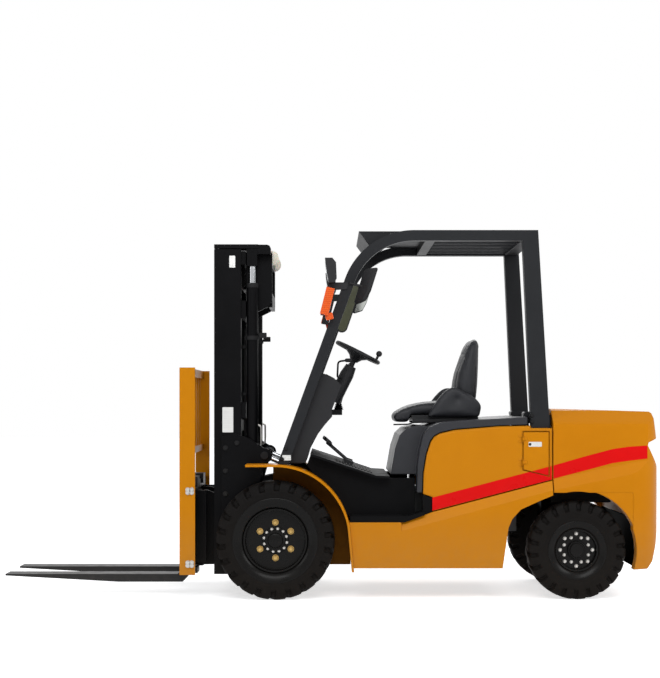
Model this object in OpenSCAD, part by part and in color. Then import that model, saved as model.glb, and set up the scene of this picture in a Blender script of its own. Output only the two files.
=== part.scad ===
// Counterbalance forklift truck with a two-stage mast, stored with the mast lowered.
// +X is forward, +Y is left, +Z is up. The origin is on the floor, at the middle of the overall length.
// Modules are drawn with x measured forward from the front axle and z up from the floor;
// place() then moves them to the origin. Left-hand pieces are drawn and the right ones mirrored.

/* [Layout] */
// Distance between the axles
wheelbase = 1800; // [1700:10:2000]
// Front axle to the front face of the fork shanks
fork_face_x = 596; // [580:2:640]
// Rear axle to the back of the counterweight
rear_overhang = 505; // [480:5:560]
// Height over the overhead guard
guard_h = 2210; // [2150:10:2300]
// Half width of the lower body
body_half = 585; // [570:5:610]
// Width of the shoulder between the lower body and the upper side panels
shoulder_w = 35; // [25:1:45]

/* [Wheels] */
// Front tyre radius, out to the lugs
front_r = 355; // [345:1:365]
// Front tyre width
front_w = 225; // [200:5:235]
// Front track, between tyre centres
front_track = 1000; // [990:5:1040]
// Front rim seat radius
front_seat_r = 190; // [180:1:200]
// Rear tyre radius, out to the lugs
rear_r = 295; // [285:1:305]
// Rear tyre width
rear_w = 175; // [160:5:180]
// Rear track, between tyre centres
rear_track = 980; // [970:5:1000]
// Rear rim seat radius
rear_seat_r = 127; // [120:1:135]

/* [Mast] */
// Front face of the outer mast rails, forward of the front axle
rail_front_x = 381; // [375:1:390]
// Depth of the outer mast rails, front to back
rail_depth = 163; // [160:1:170]
// Half width over the outer mast rails
mast_half = 352; // [346:1:356]
// Top of the outer mast rails
mast_top = 2112; // [2000:2:2200]
// Stroke of the lift cylinders
lift_stroke = 1500; // [1200:10:1500]

/* [Forks] */
// Length of the fork blades
fork_len = 1070; // [900:10:1500]
// Width of one fork
fork_w = 150; // [100:5:160]
// Thickness of the fork shank and of the blade at its heel
fork_t = 48; // [35:1:50]
// Spread between the fork centres
fork_spread = 440; // [360:10:800]
// Underside of the fork blades above the floor
fork_z = 77; // [60:1:90]

/* [Hidden] */
$fn = 64;

paint_yellow = "#d9920f";
paint_black = "#232427";
deep_black = "#141416";
steel = "#b9bcc0";

// Overall stations along the truck
ra = -wheelbase;
fork_tip_x = fork_face_x + fork_len;
overall_len = fork_tip_x + wheelbase + rear_overhang;
front_axle_x = overall_len / 2 - fork_tip_x;
fz = front_r;
rz = rear_r;
panel_half = body_half - shoulder_w;

// Clearances
run_gap = 0.3;
fit_gap = 0.05;
seat_gap = 0.3;
move_gap = 6;

module place() translate([front_axle_x, 0, 0]) children();
module both() {
  children();
  mirror([0, 1, 0]) children();
}
// Extrudes an outline drawn in x and z from y0 to y1
module side(y0, y1) translate([0, y1, 0]) rotate([90, 0, 0]) linear_extrude(y1 - y0) children();
module box(x, y, z) translate([x[0], y[0], z[0]]) cube([x[1] - x[0], y[1] - y[0], z[1] - z[0]]);
// Cylinder along y, centred on x and z
module y_bar(x, z, r, y) translate([x, y[0], z]) rotate([-90, 0, 0]) cylinder(r = r, h = y[1] - y[0]);
module x_bar(y, z, r, x) translate([x[0], y, z]) rotate([0, 90, 0]) cylinder(r = r, h = x[1] - x[0]);
// Bar of square or round section from one point of the xz plane to another
module strut(a, b, d, y) {
  angle = atan2(b[1] - a[1], b[0] - a[0]);
  translate([a[0], y[0], a[1]]) rotate([0, -angle, 0])
    translate([0, 0, -d / 2]) cube([norm(b - a), y[1] - y[0], d]);
}

// Main frame: two box beams, side tanks that form the lower body, cross members and axle supports
beam_y = [220, 290];
beam_z = [290, 480];
axle_tube_r = 75;
tank_in = body_half - 185;
body_low = 190;
arch_front = [[ra + 446, body_low], [ra + 411, 431], [ra + 389, 483], [ra + 337, 540], [ra + 232, 588],
              [ra + 114, 628]];
step_z = 463;
seam_x = ra + 140;
stripe_low = [[-770, step_z], [-940, 523], [seam_x + 6, 711]];
goose_z = [640, 790];
tilt_pin = [-520, 600];
tilt_pin_r = 16;

module tank_outline() polygon(concat(
  [[-468.4, body_low], [-445.2, 436], [-439.5, step_z]],
  stripe_low, [[seam_x + 6, 624]], [for (i = [4:-1:0]) arch_front[i]]));

module frame() color(paint_yellow) {
  difference() {
    union() {
      both() intersection() {
        side(tank_in, body_half) tank_outline();
        union() {
          shoulder_form(shoulder_start, frame_slope);
          box([shoulder_start[0] - 60, 0], [0, body_half], [0, 1000]);
        }
      }
      both() box([ra + 410, -20], beam_y, beam_z);
      both() side(beam_y[0], beam_y[1]) polygon([[ra + 560, beam_z[0]], [ra + 400, 420], [ra + 400, goose_z[0]],
        [seam_x, goose_z[0]], [seam_x, goose_z[1]], [ra + 420, goose_z[1]], [ra + 560, beam_z[1]]]);
      for (x = [[-560, -480], [-940, -860], [ra + 410, ra + 490]])
        box(x, [-tank_in, tank_in], [beam_z[0] + 10, beam_z[0] + 90]);
      box([ra + 100, seam_x], [-beam_y[1], beam_y[1]], [goose_z[0], goose_z[0] + 60]);
      box([ra + 96, ra + 150], [-84, 84], [rz + 60, goose_z[0] + 30]);
      both() y_bar(tilt_pin[0], tilt_pin[1], 40, [beam_y[0], beam_y[1] + 20]);
      both() side(beam_y[0], beam_y[1]) polygon([[-600, beam_z[1] - 5], [-440, beam_z[1] - 5],
        [tilt_pin[0] + 38, tilt_pin[1]], [tilt_pin[0] - 38, tilt_pin[1]]]);
      both() y_bar(tilt_pin[0], tilt_pin[1], tilt_pin_r, [beam_y[1], 356]);
    }
    y_bar(0, fz, axle_tube_r + run_gap, [-400, 400]);
    x_bar(0, axle_pivot_z, axle_pivot_r + fit_gap, [ra + 90, ra + 160]);
  }
}
// The body is wide below a crease that climbs to the rear, and narrower above it, with a slope between
shoulder_rise = 62;
shoulder_start = [-690, 395];
frame_slope = 15.1;
cw_slope = 11.6;
module shoulder_form(start, slope) {
  box([ra - 700, 0], [-panel_half, panel_half], [0, 1400]);
  translate([start[0], 0, start[1]]) rotate([0, slope, 0]) translate([-1400, 0, 0]) rotate([90, 0, 90]) linear_extrude(1400)
    polygon([[-body_half, -700], [body_half, -700], [body_half, 0], [panel_half, shoulder_rise],
      [-panel_half, shoulder_rise], [-body_half, 0]]);
}

// Front wheel fenders: arcs about the axle with a flat nose and a straight tail
fender_r = 452;
fender_t = 14;
fender_y = [front_track / 2 - 114, front_track / 2 + 100];
module front_fenders() color(paint_yellow) both() {
  difference() {
    y_bar(0, fz, fender_r, fender_y);
    y_bar(0, fz, fender_r - fender_t, [fender_y[0] - 1, fender_y[1] + 1]);
    box([0, 600], [300, 700], [-200, 900]);
    box([-600, 600], [300, 700], [-200, 436]);
  }
  box([-1, 178], fender_y, [fz + fender_r - fender_t, fz + fender_r]);
  side(fender_y[0], fender_y[1]) polygon([[-444.7, 437], [-430.8, 435], [-456, 168], [-470, 168]]);
}

// Floor: sloping toe board, flat floor, side walls down to the steps
floor_z = 735;
toe = [[-208, 872], [-600, floor_z + 5]];
floor_back = -684;
floor_half = panel_half - 20;
module floor_deck() color(deep_black) {
  wall_y = [panel_half - 110, panel_half - 90];
  side(-floor_half, floor_half) polygon([toe[0], toe[1], [floor_back, floor_z], [floor_back, floor_z - 14],
    [-604, floor_z - 10], [toe[0][0], toe[0][1] - 15]]);
  both() difference() {
    side(wall_y[0], wall_y[1]) polygon([[-186, 800], [toe[0][0], toe[0][1] - 14], [-604, floor_z - 9], [floor_back, floor_z - 13],
      [-838, floor_z - 13], [-838, step_z + 36], [-430, step_z + 36], [-300, 640]]);
    y_bar(0, fz, fender_r + run_gap, wall_y + [-10, 10]);
  }
  both() side(tank_in + 2, body_half - 6) polygon([[-446, step_z + seat_gap], [-770, step_z + seat_gap], [-890, step_z + 43],
    [-890, step_z + 67], [-800, step_z + 37], [-446, step_z + 37]]);
  both() side(wall_y[0], panel_half - 4) polygon([[-880, step_z + 40], [-934, step_z + 58.5], [-934, 606], [-886, 626], [-880, 626]]);
}

// Upper side panels, left and right of the engine bay
panel_t = 45;
panel_top = [[-882, 632], [-886, 755], [-904, 868], [-930, 945], [-950, 972], [-985, 992], [-1070, 1012],
             [-1332, 1034], [ra + 276, 1038]];
leg_foot_z = 1024;
flap_x = [ra + 168, ra + 318];
flap_z = [800, 1000];
module panel_outline() polygon(concat([[-940, 530], [-940, 612]], panel_top,
  [[ra + 276, leg_foot_z], [seam_x + 8, leg_foot_z], [seam_x + 6, 718]]));
flap_hinge = [flap_x[1] + 3, panel_half + 5 + seat_gap];
flap_hinge_z = [flap_z[0] + 20, flap_z[1] - 40];
flap_pin_r = 3;
module flap_outline(d) polygon([[flap_x[0] - d, flap_z[0] - 60 - d], [flap_x[1] + d, flap_z[0] - 22 - d],
  [flap_x[1] + d, flap_z[1] + d], [flap_x[0] - d, flap_z[1] + d]]);
module side_panels() color(paint_yellow) {
  mirror([0, 1, 0]) side(panel_half - panel_t, panel_half) panel_outline();
  difference() {
    side(panel_half - panel_t, panel_half) panel_outline();
    side(panel_half - 14, panel_half + 1) flap_outline(move_gap);
  }
  for (z = flap_hinge_z) {
    for (dz = [-20, 10]) {
      translate([flap_hinge[0], flap_hinge[1], z + dz]) cylinder(r = 5, h = 10);
      box([flap_hinge[0], flap_hinge[0] + 26], [panel_half - 1, panel_half + 3], [z + dz, z + dz + 10]);
    }
    translate([flap_hinge[0], flap_hinge[1], z - 12]) cylinder(r = flap_pin_r, h = 24);
  }
}
module access_flap() color(paint_yellow) difference() {
  union() {
    side(panel_half - 8, panel_half) flap_outline(0);
    for (z = flap_hinge_z) {
      translate([flap_hinge[0], flap_hinge[1], z - 9.5]) cylinder(r = 5, h = 19);
      box([flap_hinge[0] - 26, flap_hinge[0]], [panel_half - 1, panel_half + 3], [z - 9.5, z + 9.5]);
    }
  }
  for (z = flap_hinge_z) translate([flap_hinge[0], flap_hinge[1], z - 20]) cylinder(r = flap_pin_r + run_gap, h = 40);
}

// Counterweight: one casting, cut by the wheel arches and an air duct
cw_back = ra - rear_overhang;
cw_top = 1139;
arch_r = 352;
arch_deep_r = 382;
duct_y = 270;
duct_z = [700, 900];
module cw_side() polygon([[seam_x, 640], [seam_x, cw_top], [cw_back + 55, cw_top - 17], [cw_back + 43, cw_top - 27],
  [cw_back + 14, 960], [cw_back + 75, 938], [cw_back + 79, 919], [cw_back, 780], [cw_back, 470],
  [cw_back + 8, 390], [cw_back + 21, 320], [cw_back + 48, 228], [cw_back + 84, 185], [ra - 330, 182],
  [ra - 330, 640]]);
cw_corner = 190;
module cw_plan() polygon(concat([[seam_x + 2, -body_half], [seam_x + 2, body_half]],
  arc([cw_back + cw_corner, body_half - cw_corner], cw_corner, 90, 180, 20),
  arc([cw_back + cw_corner, cw_corner - body_half], cw_corner, 180, 270, 20)));
module cw_front() polygon([[-body_half, 0], [body_half, 0], [body_half, 1020],
  [panel_half - 15, 1062], [panel_half - 105, 1128], [panel_half - 150, cw_top + 1], [150 - panel_half, cw_top + 1],
  [105 - panel_half, 1128], [15 - panel_half, 1062], [-body_half, 1020]]);
module counterweight() color(paint_yellow) {
  counterweight_casting();
  translate([cw_back + 52, 0, 290]) cylinder(r = 16, h = 100);
  difference() {
    box([ra - 150, ra - 96], [-84, 84], [rz + 60, duct_z[0] - 10]);
    x_bar(0, axle_pivot_z, axle_pivot_r + fit_gap, [ra - 160, ra - 90]);
  }
}
module counterweight_casting() difference() {
  intersection() {
    side(-body_half, body_half) cw_side();
    translate([0, 0, 100]) linear_extrude(1100) cw_plan();
    rotate([90, 0, -90]) translate([0, 0, -seam_x - 10]) linear_extrude(rear_overhang + 400) cw_front();
    shoulder_form([seam_x + 20, 652], cw_slope);
  }
  y_bar(ra, rz, arch_r, [-body_half - 1, body_half + 1]);
  y_bar(ra, rz, arch_deep_r, [-500, 500]);
  box([cw_back - 10, seam_x + 10], [-duct_y, duct_y], duct_z);
  box([cw_back - 10, cw_back + 92], [-60, 60], [300, 380]);
  box([seam_x - 60, seam_x + 1], [-beam_y[1] - 2, beam_y[1] + 2], [600, goose_z[0] + 62]);
  both() box([cw_back - 10, tail_x[1] + seat_gap], tail_y + [-seat_gap, seat_gap], tail_z + [-seat_gap, seat_gap]);
}
module rear_grille() color(deep_black) {
  x = [cw_back + 70, cw_back + 90];
  bar = 12;
  difference() {
    box(x, [seat_gap - duct_y, duct_y - seat_gap], duct_z + [seat_gap, -seat_gap]);
    box([x[0] - 1, x[1] + 1], [-duct_y + bar, duct_y - bar], [duct_z[0] + bar, duct_z[1] - bar]);
  }
  for (z = [duct_z[0] + 30:28:duct_z[1] - 20]) box(x, [-duct_y + bar - 1, duct_y - bar + 1], [z, z + 8]);
}

// Overhead guard
pillar_lean = 20;
pillar_foot = [-12, 810];
tube_d = 62;
guard_y = [panel_half - 95, panel_half - 25];
bend_r = 440;
bend_c = [pillar_foot[0] - (guard_h - pillar_foot[1]) * tan(pillar_lean) - bend_r * tan(45 - pillar_lean / 2),
          guard_h - bend_r];
rail_end = ra + 227;
leg_top_front = rail_end + 95;
leg_foot = [ra + 157, ra + 268];
function arc(c, r, a0, a1, n) = [for (i = [0:n]) let (t = a0 + (a1 - a0) * i / n) [c[0] + r * cos(t), c[1] + r * sin(t)]];
// Point of the pillar at height z, d behind its front edge
function on_pillar(z, d) = [pillar_foot[0] - d / cos(pillar_lean) - (z - pillar_foot[1]) * tan(pillar_lean), z];
module guard_side() {
  foot = fz + fender_r + seat_gap;
  under = guard_h - tube_d;
  leg_slope = (leg_top_front - leg_foot[1]) / (guard_h - leg_foot_z);
  side(guard_y[0], guard_y[1]) polygon(concat([on_pillar(foot, 0)],
    arc(bend_c, bend_r, pillar_lean, 90, 28),
    [[rail_end, guard_h], [leg_foot[0], leg_foot_z], [leg_foot[1], leg_foot_z],
     [leg_foot[1] + leg_slope * (under - leg_foot_z), under]],
    arc(bend_c, bend_r - tube_d, 90, pillar_lean, 28),
    [on_pillar(foot, tube_d)]));
}
mid_bar_x = [-960, -900];
rear_bar_x = [rail_end + 10, rail_end + 90];
hinge_pin_r = 7;
hinge_y = [300, 380];
module guard_frame() color(paint_black) {
  both() guard_side();
  for (x = [mid_bar_x, rear_bar_x]) box(x, [-guard_y[0] - 10, guard_y[0] + 10], [guard_h - tube_d + 2, guard_h - 8]);
  box([seam_x + 5, seam_x + 28], [-guard_y[0] - 10, guard_y[0] + 10], [1040, 1104]);
  both() for (y = [hinge_y[0] - 24, hinge_y[1] + 6]) {
    box([seam_x + 6, hood_hinge[0]], [y, y + 18], [hood_hinge[1] - 13, hood_hinge[1] + 10]);
    y_bar(hood_hinge[0], hood_hinge[1], 13, [y, y + 18]);
  }
  both() y_bar(hood_hinge[0], hood_hinge[1], hinge_pin_r, [hinge_y[0] - 10, hinge_y[1] + 10]);
}
visor_tip = -500;
module guard_roof() color(paint_black) {
  roof_half = guard_y[0] - seat_gap;
  side(-roof_half, roof_half) polygon([[visor_tip, guard_h], [mid_bar_x[1] + seat_gap, guard_h], [mid_bar_x[1] + seat_gap, guard_h - 12],
    [visor_tip - 24, guard_h - 12], [visor_tip - 84, guard_h - 95], [visor_tip - 72, guard_h - 99]]);
  for (i = [-4:4]) box([rear_bar_x[1] + seat_gap, mid_bar_x[0] - seat_gap], [i * 95 - 9, i * 95 + 9], [guard_h - 54, guard_h - 10]);
}

// Dashboard cowl, steering column, levers and pedals
cowl_half = guard_y[0] - 5;
wheel_c = [-502, 1492];
wheel_lean = 26.6;
column_len = 345;
module on_column() translate([wheel_c[0], 0, wheel_c[1]]) rotate([0, -wheel_lean, 0]) children();
module cowl() color(paint_black) difference() {
  union() {
    side(-cowl_half, cowl_half) polygon([[-80, 813], [-205, 1193], [-263, 1345], [-290, 1352], [-364, 1314], [-395, 1279],
      [-339, 1137], [-339, 1092], [-294, 1041], [-253, 986], [-203, 890], [-180, 813]]);
    box([-160, -12], [14 - cowl_half, cowl_half - 14], [fz + fender_r + seat_gap, 814]);
  }
  on_column() translate([0, 0, -column_len - 1]) cylinder(r = 44 + seat_gap, h = column_len);
  both() box([-236, 5], [tilt_y[0] - 24, bracket_out + 8], [800, 910]);
}
module steering_column() color(deep_black) on_column() {
  translate([0, 0, -column_len]) cylinder(r = 44, h = 190);
  translate([0, 0, -column_len + 190]) cylinder(r1 = 44, r2 = 34, h = 60);
  translate([0, 0, -100]) cylinder(r = 16, h = 68);
}
module steering_wheel() color(deep_black)
  translate([wheel_c[0], 0, wheel_c[1]]) rotate([0, -wheel_lean, 0]) {
    rotate_extrude() translate([142, 0]) circle(13, $fn = 24);
    translate([0, 0, -31]) cylinder(r1 = 26, r2 = 42, h = 32);
    for (a = [30, 150, 270]) rotate([0, 0, a]) translate([20, -13, -14]) cube([115, 26, 11]);
    rotate([0, 0, 150]) translate([142, 0, 8]) {
      cylinder(r = 8, h = 36);
      translate([0, 0, 42]) sphere(19, $fn = 32);
    }
  }
module controls() color(deep_black) {
  lever_y = [-290, -345, -400];
  box([-405, -339 - seat_gap], [-425, -262], [1095, 1130]);
  for (y = lever_y) translate([-380, y, 1125]) rotate([0, -16, 0]) {
    cylinder(r = 7, h = 300);
    translate([0, 0, 306]) sphere(20, $fn = 24);
  }
  for (y = [-190, 60, 190]) {
    strut([-438, 812], [-304, 928], 13, [y - 7, y + 7]);
    translate([-306, y, 930]) rotate([0, -41, 0]) cylinder(r = 36, h = 13);
    translate([-438, y, 795]) rotate([0, -18.6, 0]) translate([-28, -16, seat_gap]) cube([56, 32, 24]);
  }
}

// Drive axle with its housing, brake drums and spindles
module drive_axle() color(deep_black) {
  y_bar(0, fz, axle_tube_r, [-378, 378]);
  both() y_bar(0, fz, 150, [378, 440]);
  both() y_bar(0, fz, 45, [440, front_track / 2 + 40]);
  difference() {
    translate([-30, 0, fz]) sphere(150, $fn = 48);
    box([-400, 400], [150 - 2, 400], [0, 700]);
  }
  x_bar(0, fz + 20, 70, [-330, -100]);
}

// Steer axle: two plates with the kingpins, the steering cylinder between them
kingpin_y = 365;
kingpin_r = 15;
plate_z = [66, 88];
axle_pivot_z = rz + 120;
axle_pivot_r = 30;
steer_line_x = -57;
steer_rod_r = 14;
steer_rod_z = 22;
arm_r = 80;
link_len = 95;
module axle_plate() linear_extrude(plate_z[1] - plate_z[0]) {
  polygon([[-80, -255], [-75, -275], [-33, -kingpin_y], [33, -kingpin_y], [75, -275], [80, -255],
    [80, 255], [75, 275], [33, kingpin_y], [-33, kingpin_y], [-75, 275], [-80, 255]]);
}
module steer_axle() color(deep_black) translate([ra, 0, rz]) {
  difference() {
    union() {
      for (z = [-plate_z[1], plate_z[0]]) translate([0, 0, z]) {
        axle_plate();
        for (s = [1, -1]) translate([0, s * kingpin_y, 0]) cylinder(r = 33, h = plate_z[1] - plate_z[0]);
      }
      box([48, 70], [-250, 250], [-plate_z[0] - 1, plate_z[0] + 1]);
      y_bar(steer_line_x, steer_rod_z, 38, [-160, 160]);
      both() box([steer_line_x - 30, steer_line_x + 30], [100, 130], [-plate_z[0] - 1, -10]);
      box([-80, 80], [-60, 60], [plate_z[1] - 1, 120]);
      x_bar(0, axle_pivot_z - rz, axle_pivot_r, [-165, 165]);
    }
    y_bar(steer_line_x, steer_rod_z, steer_rod_r + run_gap, [-170, 170]);
  }
  both() translate([0, kingpin_y, -plate_z[0] - 2]) cylinder(r = kingpin_r, h = 2 * plate_z[0] + 4);
}
module knuckle() translate([ra, 0, rz]) difference() {
  union() {
    translate([0, kingpin_y, -60]) cylinder(r = 34, h = 120);
    y_bar(0, 0, 32, [kingpin_y + 10, rear_track / 2 + 40]);
    box([-arm_r, 0], [kingpin_y - 16, kingpin_y + 16], [-33, -15]);
    translate([-arm_r, kingpin_y, -33]) cylinder(r = 18, h = 18);
    translate([-arm_r, kingpin_y, -20]) cylinder(r = 10, h = 23);
  }
  translate([0, kingpin_y, -70]) cylinder(r = kingpin_r + run_gap, h = 140);
}
module steer_link() translate([ra - arm_r, kingpin_y, rz]) difference() {
  union() {
    box([-12, 12], [-link_len, 0], [-13, 3]);
    translate([0, 0, -13]) cylinder(r = 18, h = 16);
    translate([0, -link_len, -13]) cylinder(r = 18, h = 16);
  }
  translate([0, 0, -14]) cylinder(r = 10 + run_gap, h = 18);
}
module steer_rod() color(steel) translate([ra, 0, rz]) {
  eye_y = kingpin_y - link_len;
  y_bar(steer_line_x, steer_rod_z, steer_rod_r, [-eye_y + 25, eye_y - 25]);
  both() {
    box([steer_line_x - 14, steer_line_x + 14], [eye_y - 26, eye_y], [8, 22]);
    translate([steer_line_x, eye_y, 8]) cylinder(r = 20, h = 14);
  }
}

// Engine and gearbox as one plain mass on the frame's cross members
module engine() color("#4a4d50") {
  box([ra + 320, -905], [-205, 205], [beam_z[0] + 90 + seat_gap, 880]);
  box([-906, -330], [-150, 150], [beam_z[0] + 90 + seat_gap, 640]);
}

// Lamps and mirrors
lamp_y = guard_y[1] + 35;
bracket_y = [guard_y[1] + seat_gap, guard_y[1] + 8];
module headlamps() color(deep_black) both() {
  side(lamp_y - 50, lamp_y + 50) polygon([[-296, 2037], [-340, 2037], [-362, 2010], [-366, 1920], [-350, 1890], [-318, 1890]]);
  side(bracket_y[0], bracket_y[1]) polygon([[-320, 1896], [-436, 1896], [-430, 1855], [-352, 1850], [-312, 1692], [-268, 1700], [-310, 1866]]);
}
module turn_lamps() color("#ee5a12") both()
  strut([-290, 1700], [-330, 1860], 50, [bracket_y[1] + seat_gap, lamp_y + 40]);
tail_x = [cw_back + 62, cw_back + 92];
tail_y = [370, 480];
tail_z = [862, 912];
module tail_lamps() color("#c4241c") both() box(tail_x, tail_y, tail_z);
module mirrors() color(deep_black) both() {
  strut([-408, 1800], [-552, 1930], 14, [guard_y[1] + seat_gap, guard_y[1] + 14]);
  strut([-520, 1795], [-590, 2005], 22, [guard_y[0] - 5, guard_y[1] + 67]);
}

// Engine hood with the seat on it, hinged at its rear edge
hood_half = panel_half;
nose_half = panel_half - 150;
hood_t = 24;
hood_hinge = [ra + 285, 1107];
module hood() color(deep_black) {
  difference() {
    side(-hood_half, hood_half) polygon([[-846, 640], [-850, 800], [-862, 890], [-885, 985], [-920, 1030], [-985, 1056],
      [-1100, 1068], [ra + 296, 1090], [ra + 296, 1046], [-1332, 1040], [-1070, 1019], [-983, 999], [-945, 978],
      [-923, 948], [-897, 869], [-879, 755], [-875, 640]]);
    side(-nose_half + hood_t, nose_half - hood_t) polygon([[-700, 600], [-880, 755], [-890, 900], [-915, 985], [-985, 1032],
      [-1100, 1044], [ra + 250, 1060], [ra + 250, 600]]);
  }
  box([ra + 262, ra + 297], [30 - nose_half, nose_half - 30], [1060, 1088]);
  difference() {
    side(-nose_half, nose_half) polygon([[-694, 742], [-722, 900], [-750, 980], [-790, 1018], [-860, 1036], [-925, 1031],
      [-890, 985], [-867, 890], [-855, 742]]);
    side(-nose_half + hood_t, nose_half - hood_t) polygon([[-694 - hood_t, 700], [-722 - hood_t, 890], [-770, 968], [-800, 994],
      [-862, 1010], [-880, 960], [-840, 700]]);
  }
  both() difference() {
    union() {
      y_bar(hood_hinge[0], hood_hinge[1], 13, hinge_y);
      box([hood_hinge[0] - 13, hood_hinge[0] + 13], hinge_y, [1084, hood_hinge[1]]);
    }
    y_bar(hood_hinge[0], hood_hinge[1], hinge_pin_r + run_gap, [hinge_y[0] - 1, hinge_y[1] + 1]);
  }
}

// Seat on its runners
seat_half = 222;
module seat_base() color(deep_black) {
  both() side(190, 225) polygon([[-1180, 1083], [-1180, 1072.8], [-1100, 1068.4], [-985, 1056.4], [-940, 1052], [-780, 1052], [-780, 1083]]);
  box([-1242, -775], [-235, 235], [1082, 1096]);
  both() side(seat_half + 3, 262) polygon([[-880, 1092], [-960, 1160], [-1040, 1262], [-1085, 1276], [-1180, 1212], [-1252, 1150],
    [-1225, 1092]]);
  side(-seat_half - 4, seat_half + 4) polygon([[-1215, 1086], [-1249, 1185], [-1258, 1395], [-1268, 1395], [-1260, 1185], [-1230, 1086]]);
}
module seat_cushion() color("#2a2b2e") side(-seat_half, seat_half) polygon([[-730, 1096.3], [-722, 1108], [-760, 1128], [-905, 1162],
  [-1085, 1176], [-1105, 1096.3]]);
module seat_back() color("#2a2b2e") side(-seat_half, seat_half) polygon([[-1106, 1180], [-1108, 1290], [-1135, 1402], [-1178, 1522],
  [-1210, 1562], [-1232, 1572], [-1252, 1548], [-1257.6, 1395], [-1248.6, 1185], [-1246, 1180]]);

// Mast
flange_t = 20;
web_t = 20;
flange_w = 60;
mast_low = 130;
rail_back_x = rail_front_x - rail_depth;
bracket_t = 20;
bracket_out = mast_half + bracket_t;
tilt_eye = [72, 853];
barrel_xy = [150, 308];
barrel_r = 36;
barrel_z = [300, 1894];
lift_rod_r = 22;
cross_x = [rail_back_x - 30, rail_back_x - 4];
inner_gap = 6;
inner_x = [rail_back_x + flange_t + inner_gap, rail_front_x - flange_t - inner_gap];
inner_web = [mast_half - 102, mast_half - 84];
inner_y = [mast_half - 147, mast_half - 30];
inner_flange = 18;
head_z = [mast_top + 5, mast_top + 30];
module outer_rail() {
  box([rail_back_x, rail_front_x], [mast_half - web_t, mast_half], [mast_low, mast_top]);
  for (x = [rail_back_x, rail_front_x - flange_t])
    box([x, x + flange_t], [mast_half - web_t - flange_w, mast_half - web_t + 1], [mast_low, mast_top]);
}
module tilt_bracket() {
  side(mast_half, bracket_out) polygon([[336, 300], [336, 968], [250, 985], [173, 961], [72, 898], [40, 868], [72, 800],
    [140, 560], [70, 440], [-60, 400], [-60, 300], [60, 250], [200, 240]]);
  y_bar(tilt_eye[0], tilt_eye[1], 46, [mast_half, bracket_out]);
  y_bar(0, fz, 105, [mast_half - 50, bracket_out]);
  y_bar(tilt_eye[0], tilt_eye[1], tilt_pin_r, [316, mast_half + 1]);
}
module outer_mast() color(deep_black) difference() {
  union() {
    both() outer_rail();
    both() tilt_bracket();
    for (z = [[140, 320], [1080, 1180], [1690, 1800]]) {
      box(cross_x, [-mast_half + web_t, mast_half - web_t], z);
      both() box([cross_x[0], rail_back_x + 1], [mast_half - web_t - flange_w, mast_half - web_t], z);
    }
    both() box([cross_x[0], rail_back_x + 1], [241, mast_half - web_t], [2020, 2100]);
    both() side(240, 262) polygon([[cross_x[0] + 1, 2100], [62, 2100], [30, 2070], [30, 1795], [58, 1765], [cross_x[0] + 1, 1700]]);
    for (z = [[1765, 1850], [2010, 2100]]) box([30, 52], [-241, 241], z);
    both() box([barrel_xy[0] - barrel_r, cross_x[0] + 1], [266, mast_half + 1], [barrel_z[0] - 30, barrel_z[0]]);
    both() box([165, cross_x[0] + 1], [105, 145], [1735, 1758]);
  }
  y_bar(0, fz, axle_tube_r + run_gap, [-400, 400]);
}
module lift_barrels() color(deep_black) both() translate([barrel_xy[0], barrel_xy[1], 0]) difference() {
  union() {
    translate([0, 0, barrel_z[0]]) cylinder(r = barrel_r, h = barrel_z[1] - barrel_z[0]);
  }
  translate([0, 0, barrel_z[0] + 30]) cylinder(r = lift_rod_r + run_gap, h = barrel_z[1]);
}
module lift_rods() color(steel) both() translate([barrel_xy[0], barrel_xy[1], barrel_z[0] + 45])
  cylinder(r = lift_rod_r, h = head_z[0] - barrel_z[0] - 45);
sheave_c = [234, 2070];
sheave_r = 55;
sheave_y = [110, 140];
chain_t = 14;
module inner_rail() {
  box(inner_x, inner_web, [mast_low, head_z[1]]);
  for (x = [inner_x[0], inner_x[1] - inner_flange]) box([x, x + inner_flange], inner_y, [mast_low, head_z[0] + 1]);
  box([barrel_xy[0] - 38, rail_front_x], [inner_y[0], mast_half], head_z);
}
module inner_mast() color(deep_black) {
  both() inner_rail();
  for (z = [[150, 250], [1000, 1070], [1880, 1970]])
    box([cross_x[1] + 8, inner_x[0] + 2], [-inner_web[1] + 6, inner_web[1] - 6], z);
  both() for (y = [[96, 106], [144, 154]]) box([204, 264], y, [1900, 2098]);
  both() y_bar(sheave_c[0], sheave_c[1], 12, [96, 154]);
}
module chain_sheaves() color("#77797c") both() difference() {
  y_bar(sheave_c[0], sheave_c[1], sheave_r, [sheave_y[0] - 2, sheave_y[1] + 2]);
  y_bar(sheave_c[0], sheave_c[1], 12 + run_gap, [sheave_y[0] - 3, sheave_y[1] + 3]);
}
chain_low = 420;
module lift_chains() color("#4c4e50") both() {
  x0 = sheave_c[0] + sheave_r + run_gap;
  x1 = sheave_c[0] - sheave_r - run_gap;
  box([x0, x0 + chain_t], sheave_y, [chain_low, sheave_c[1]]);
  box([x1 - chain_t, x1], sheave_y, [1758, sheave_c[1]]);
  difference() {
    y_bar(sheave_c[0], sheave_c[1], sheave_r + run_gap + chain_t, sheave_y);
    y_bar(sheave_c[0], sheave_c[1], sheave_r + run_gap, [sheave_y[0] - 1, sheave_y[1] + 1]);
    box([0, 500], [0, 300], [1900, sheave_c[1]]);
  }
}

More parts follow.
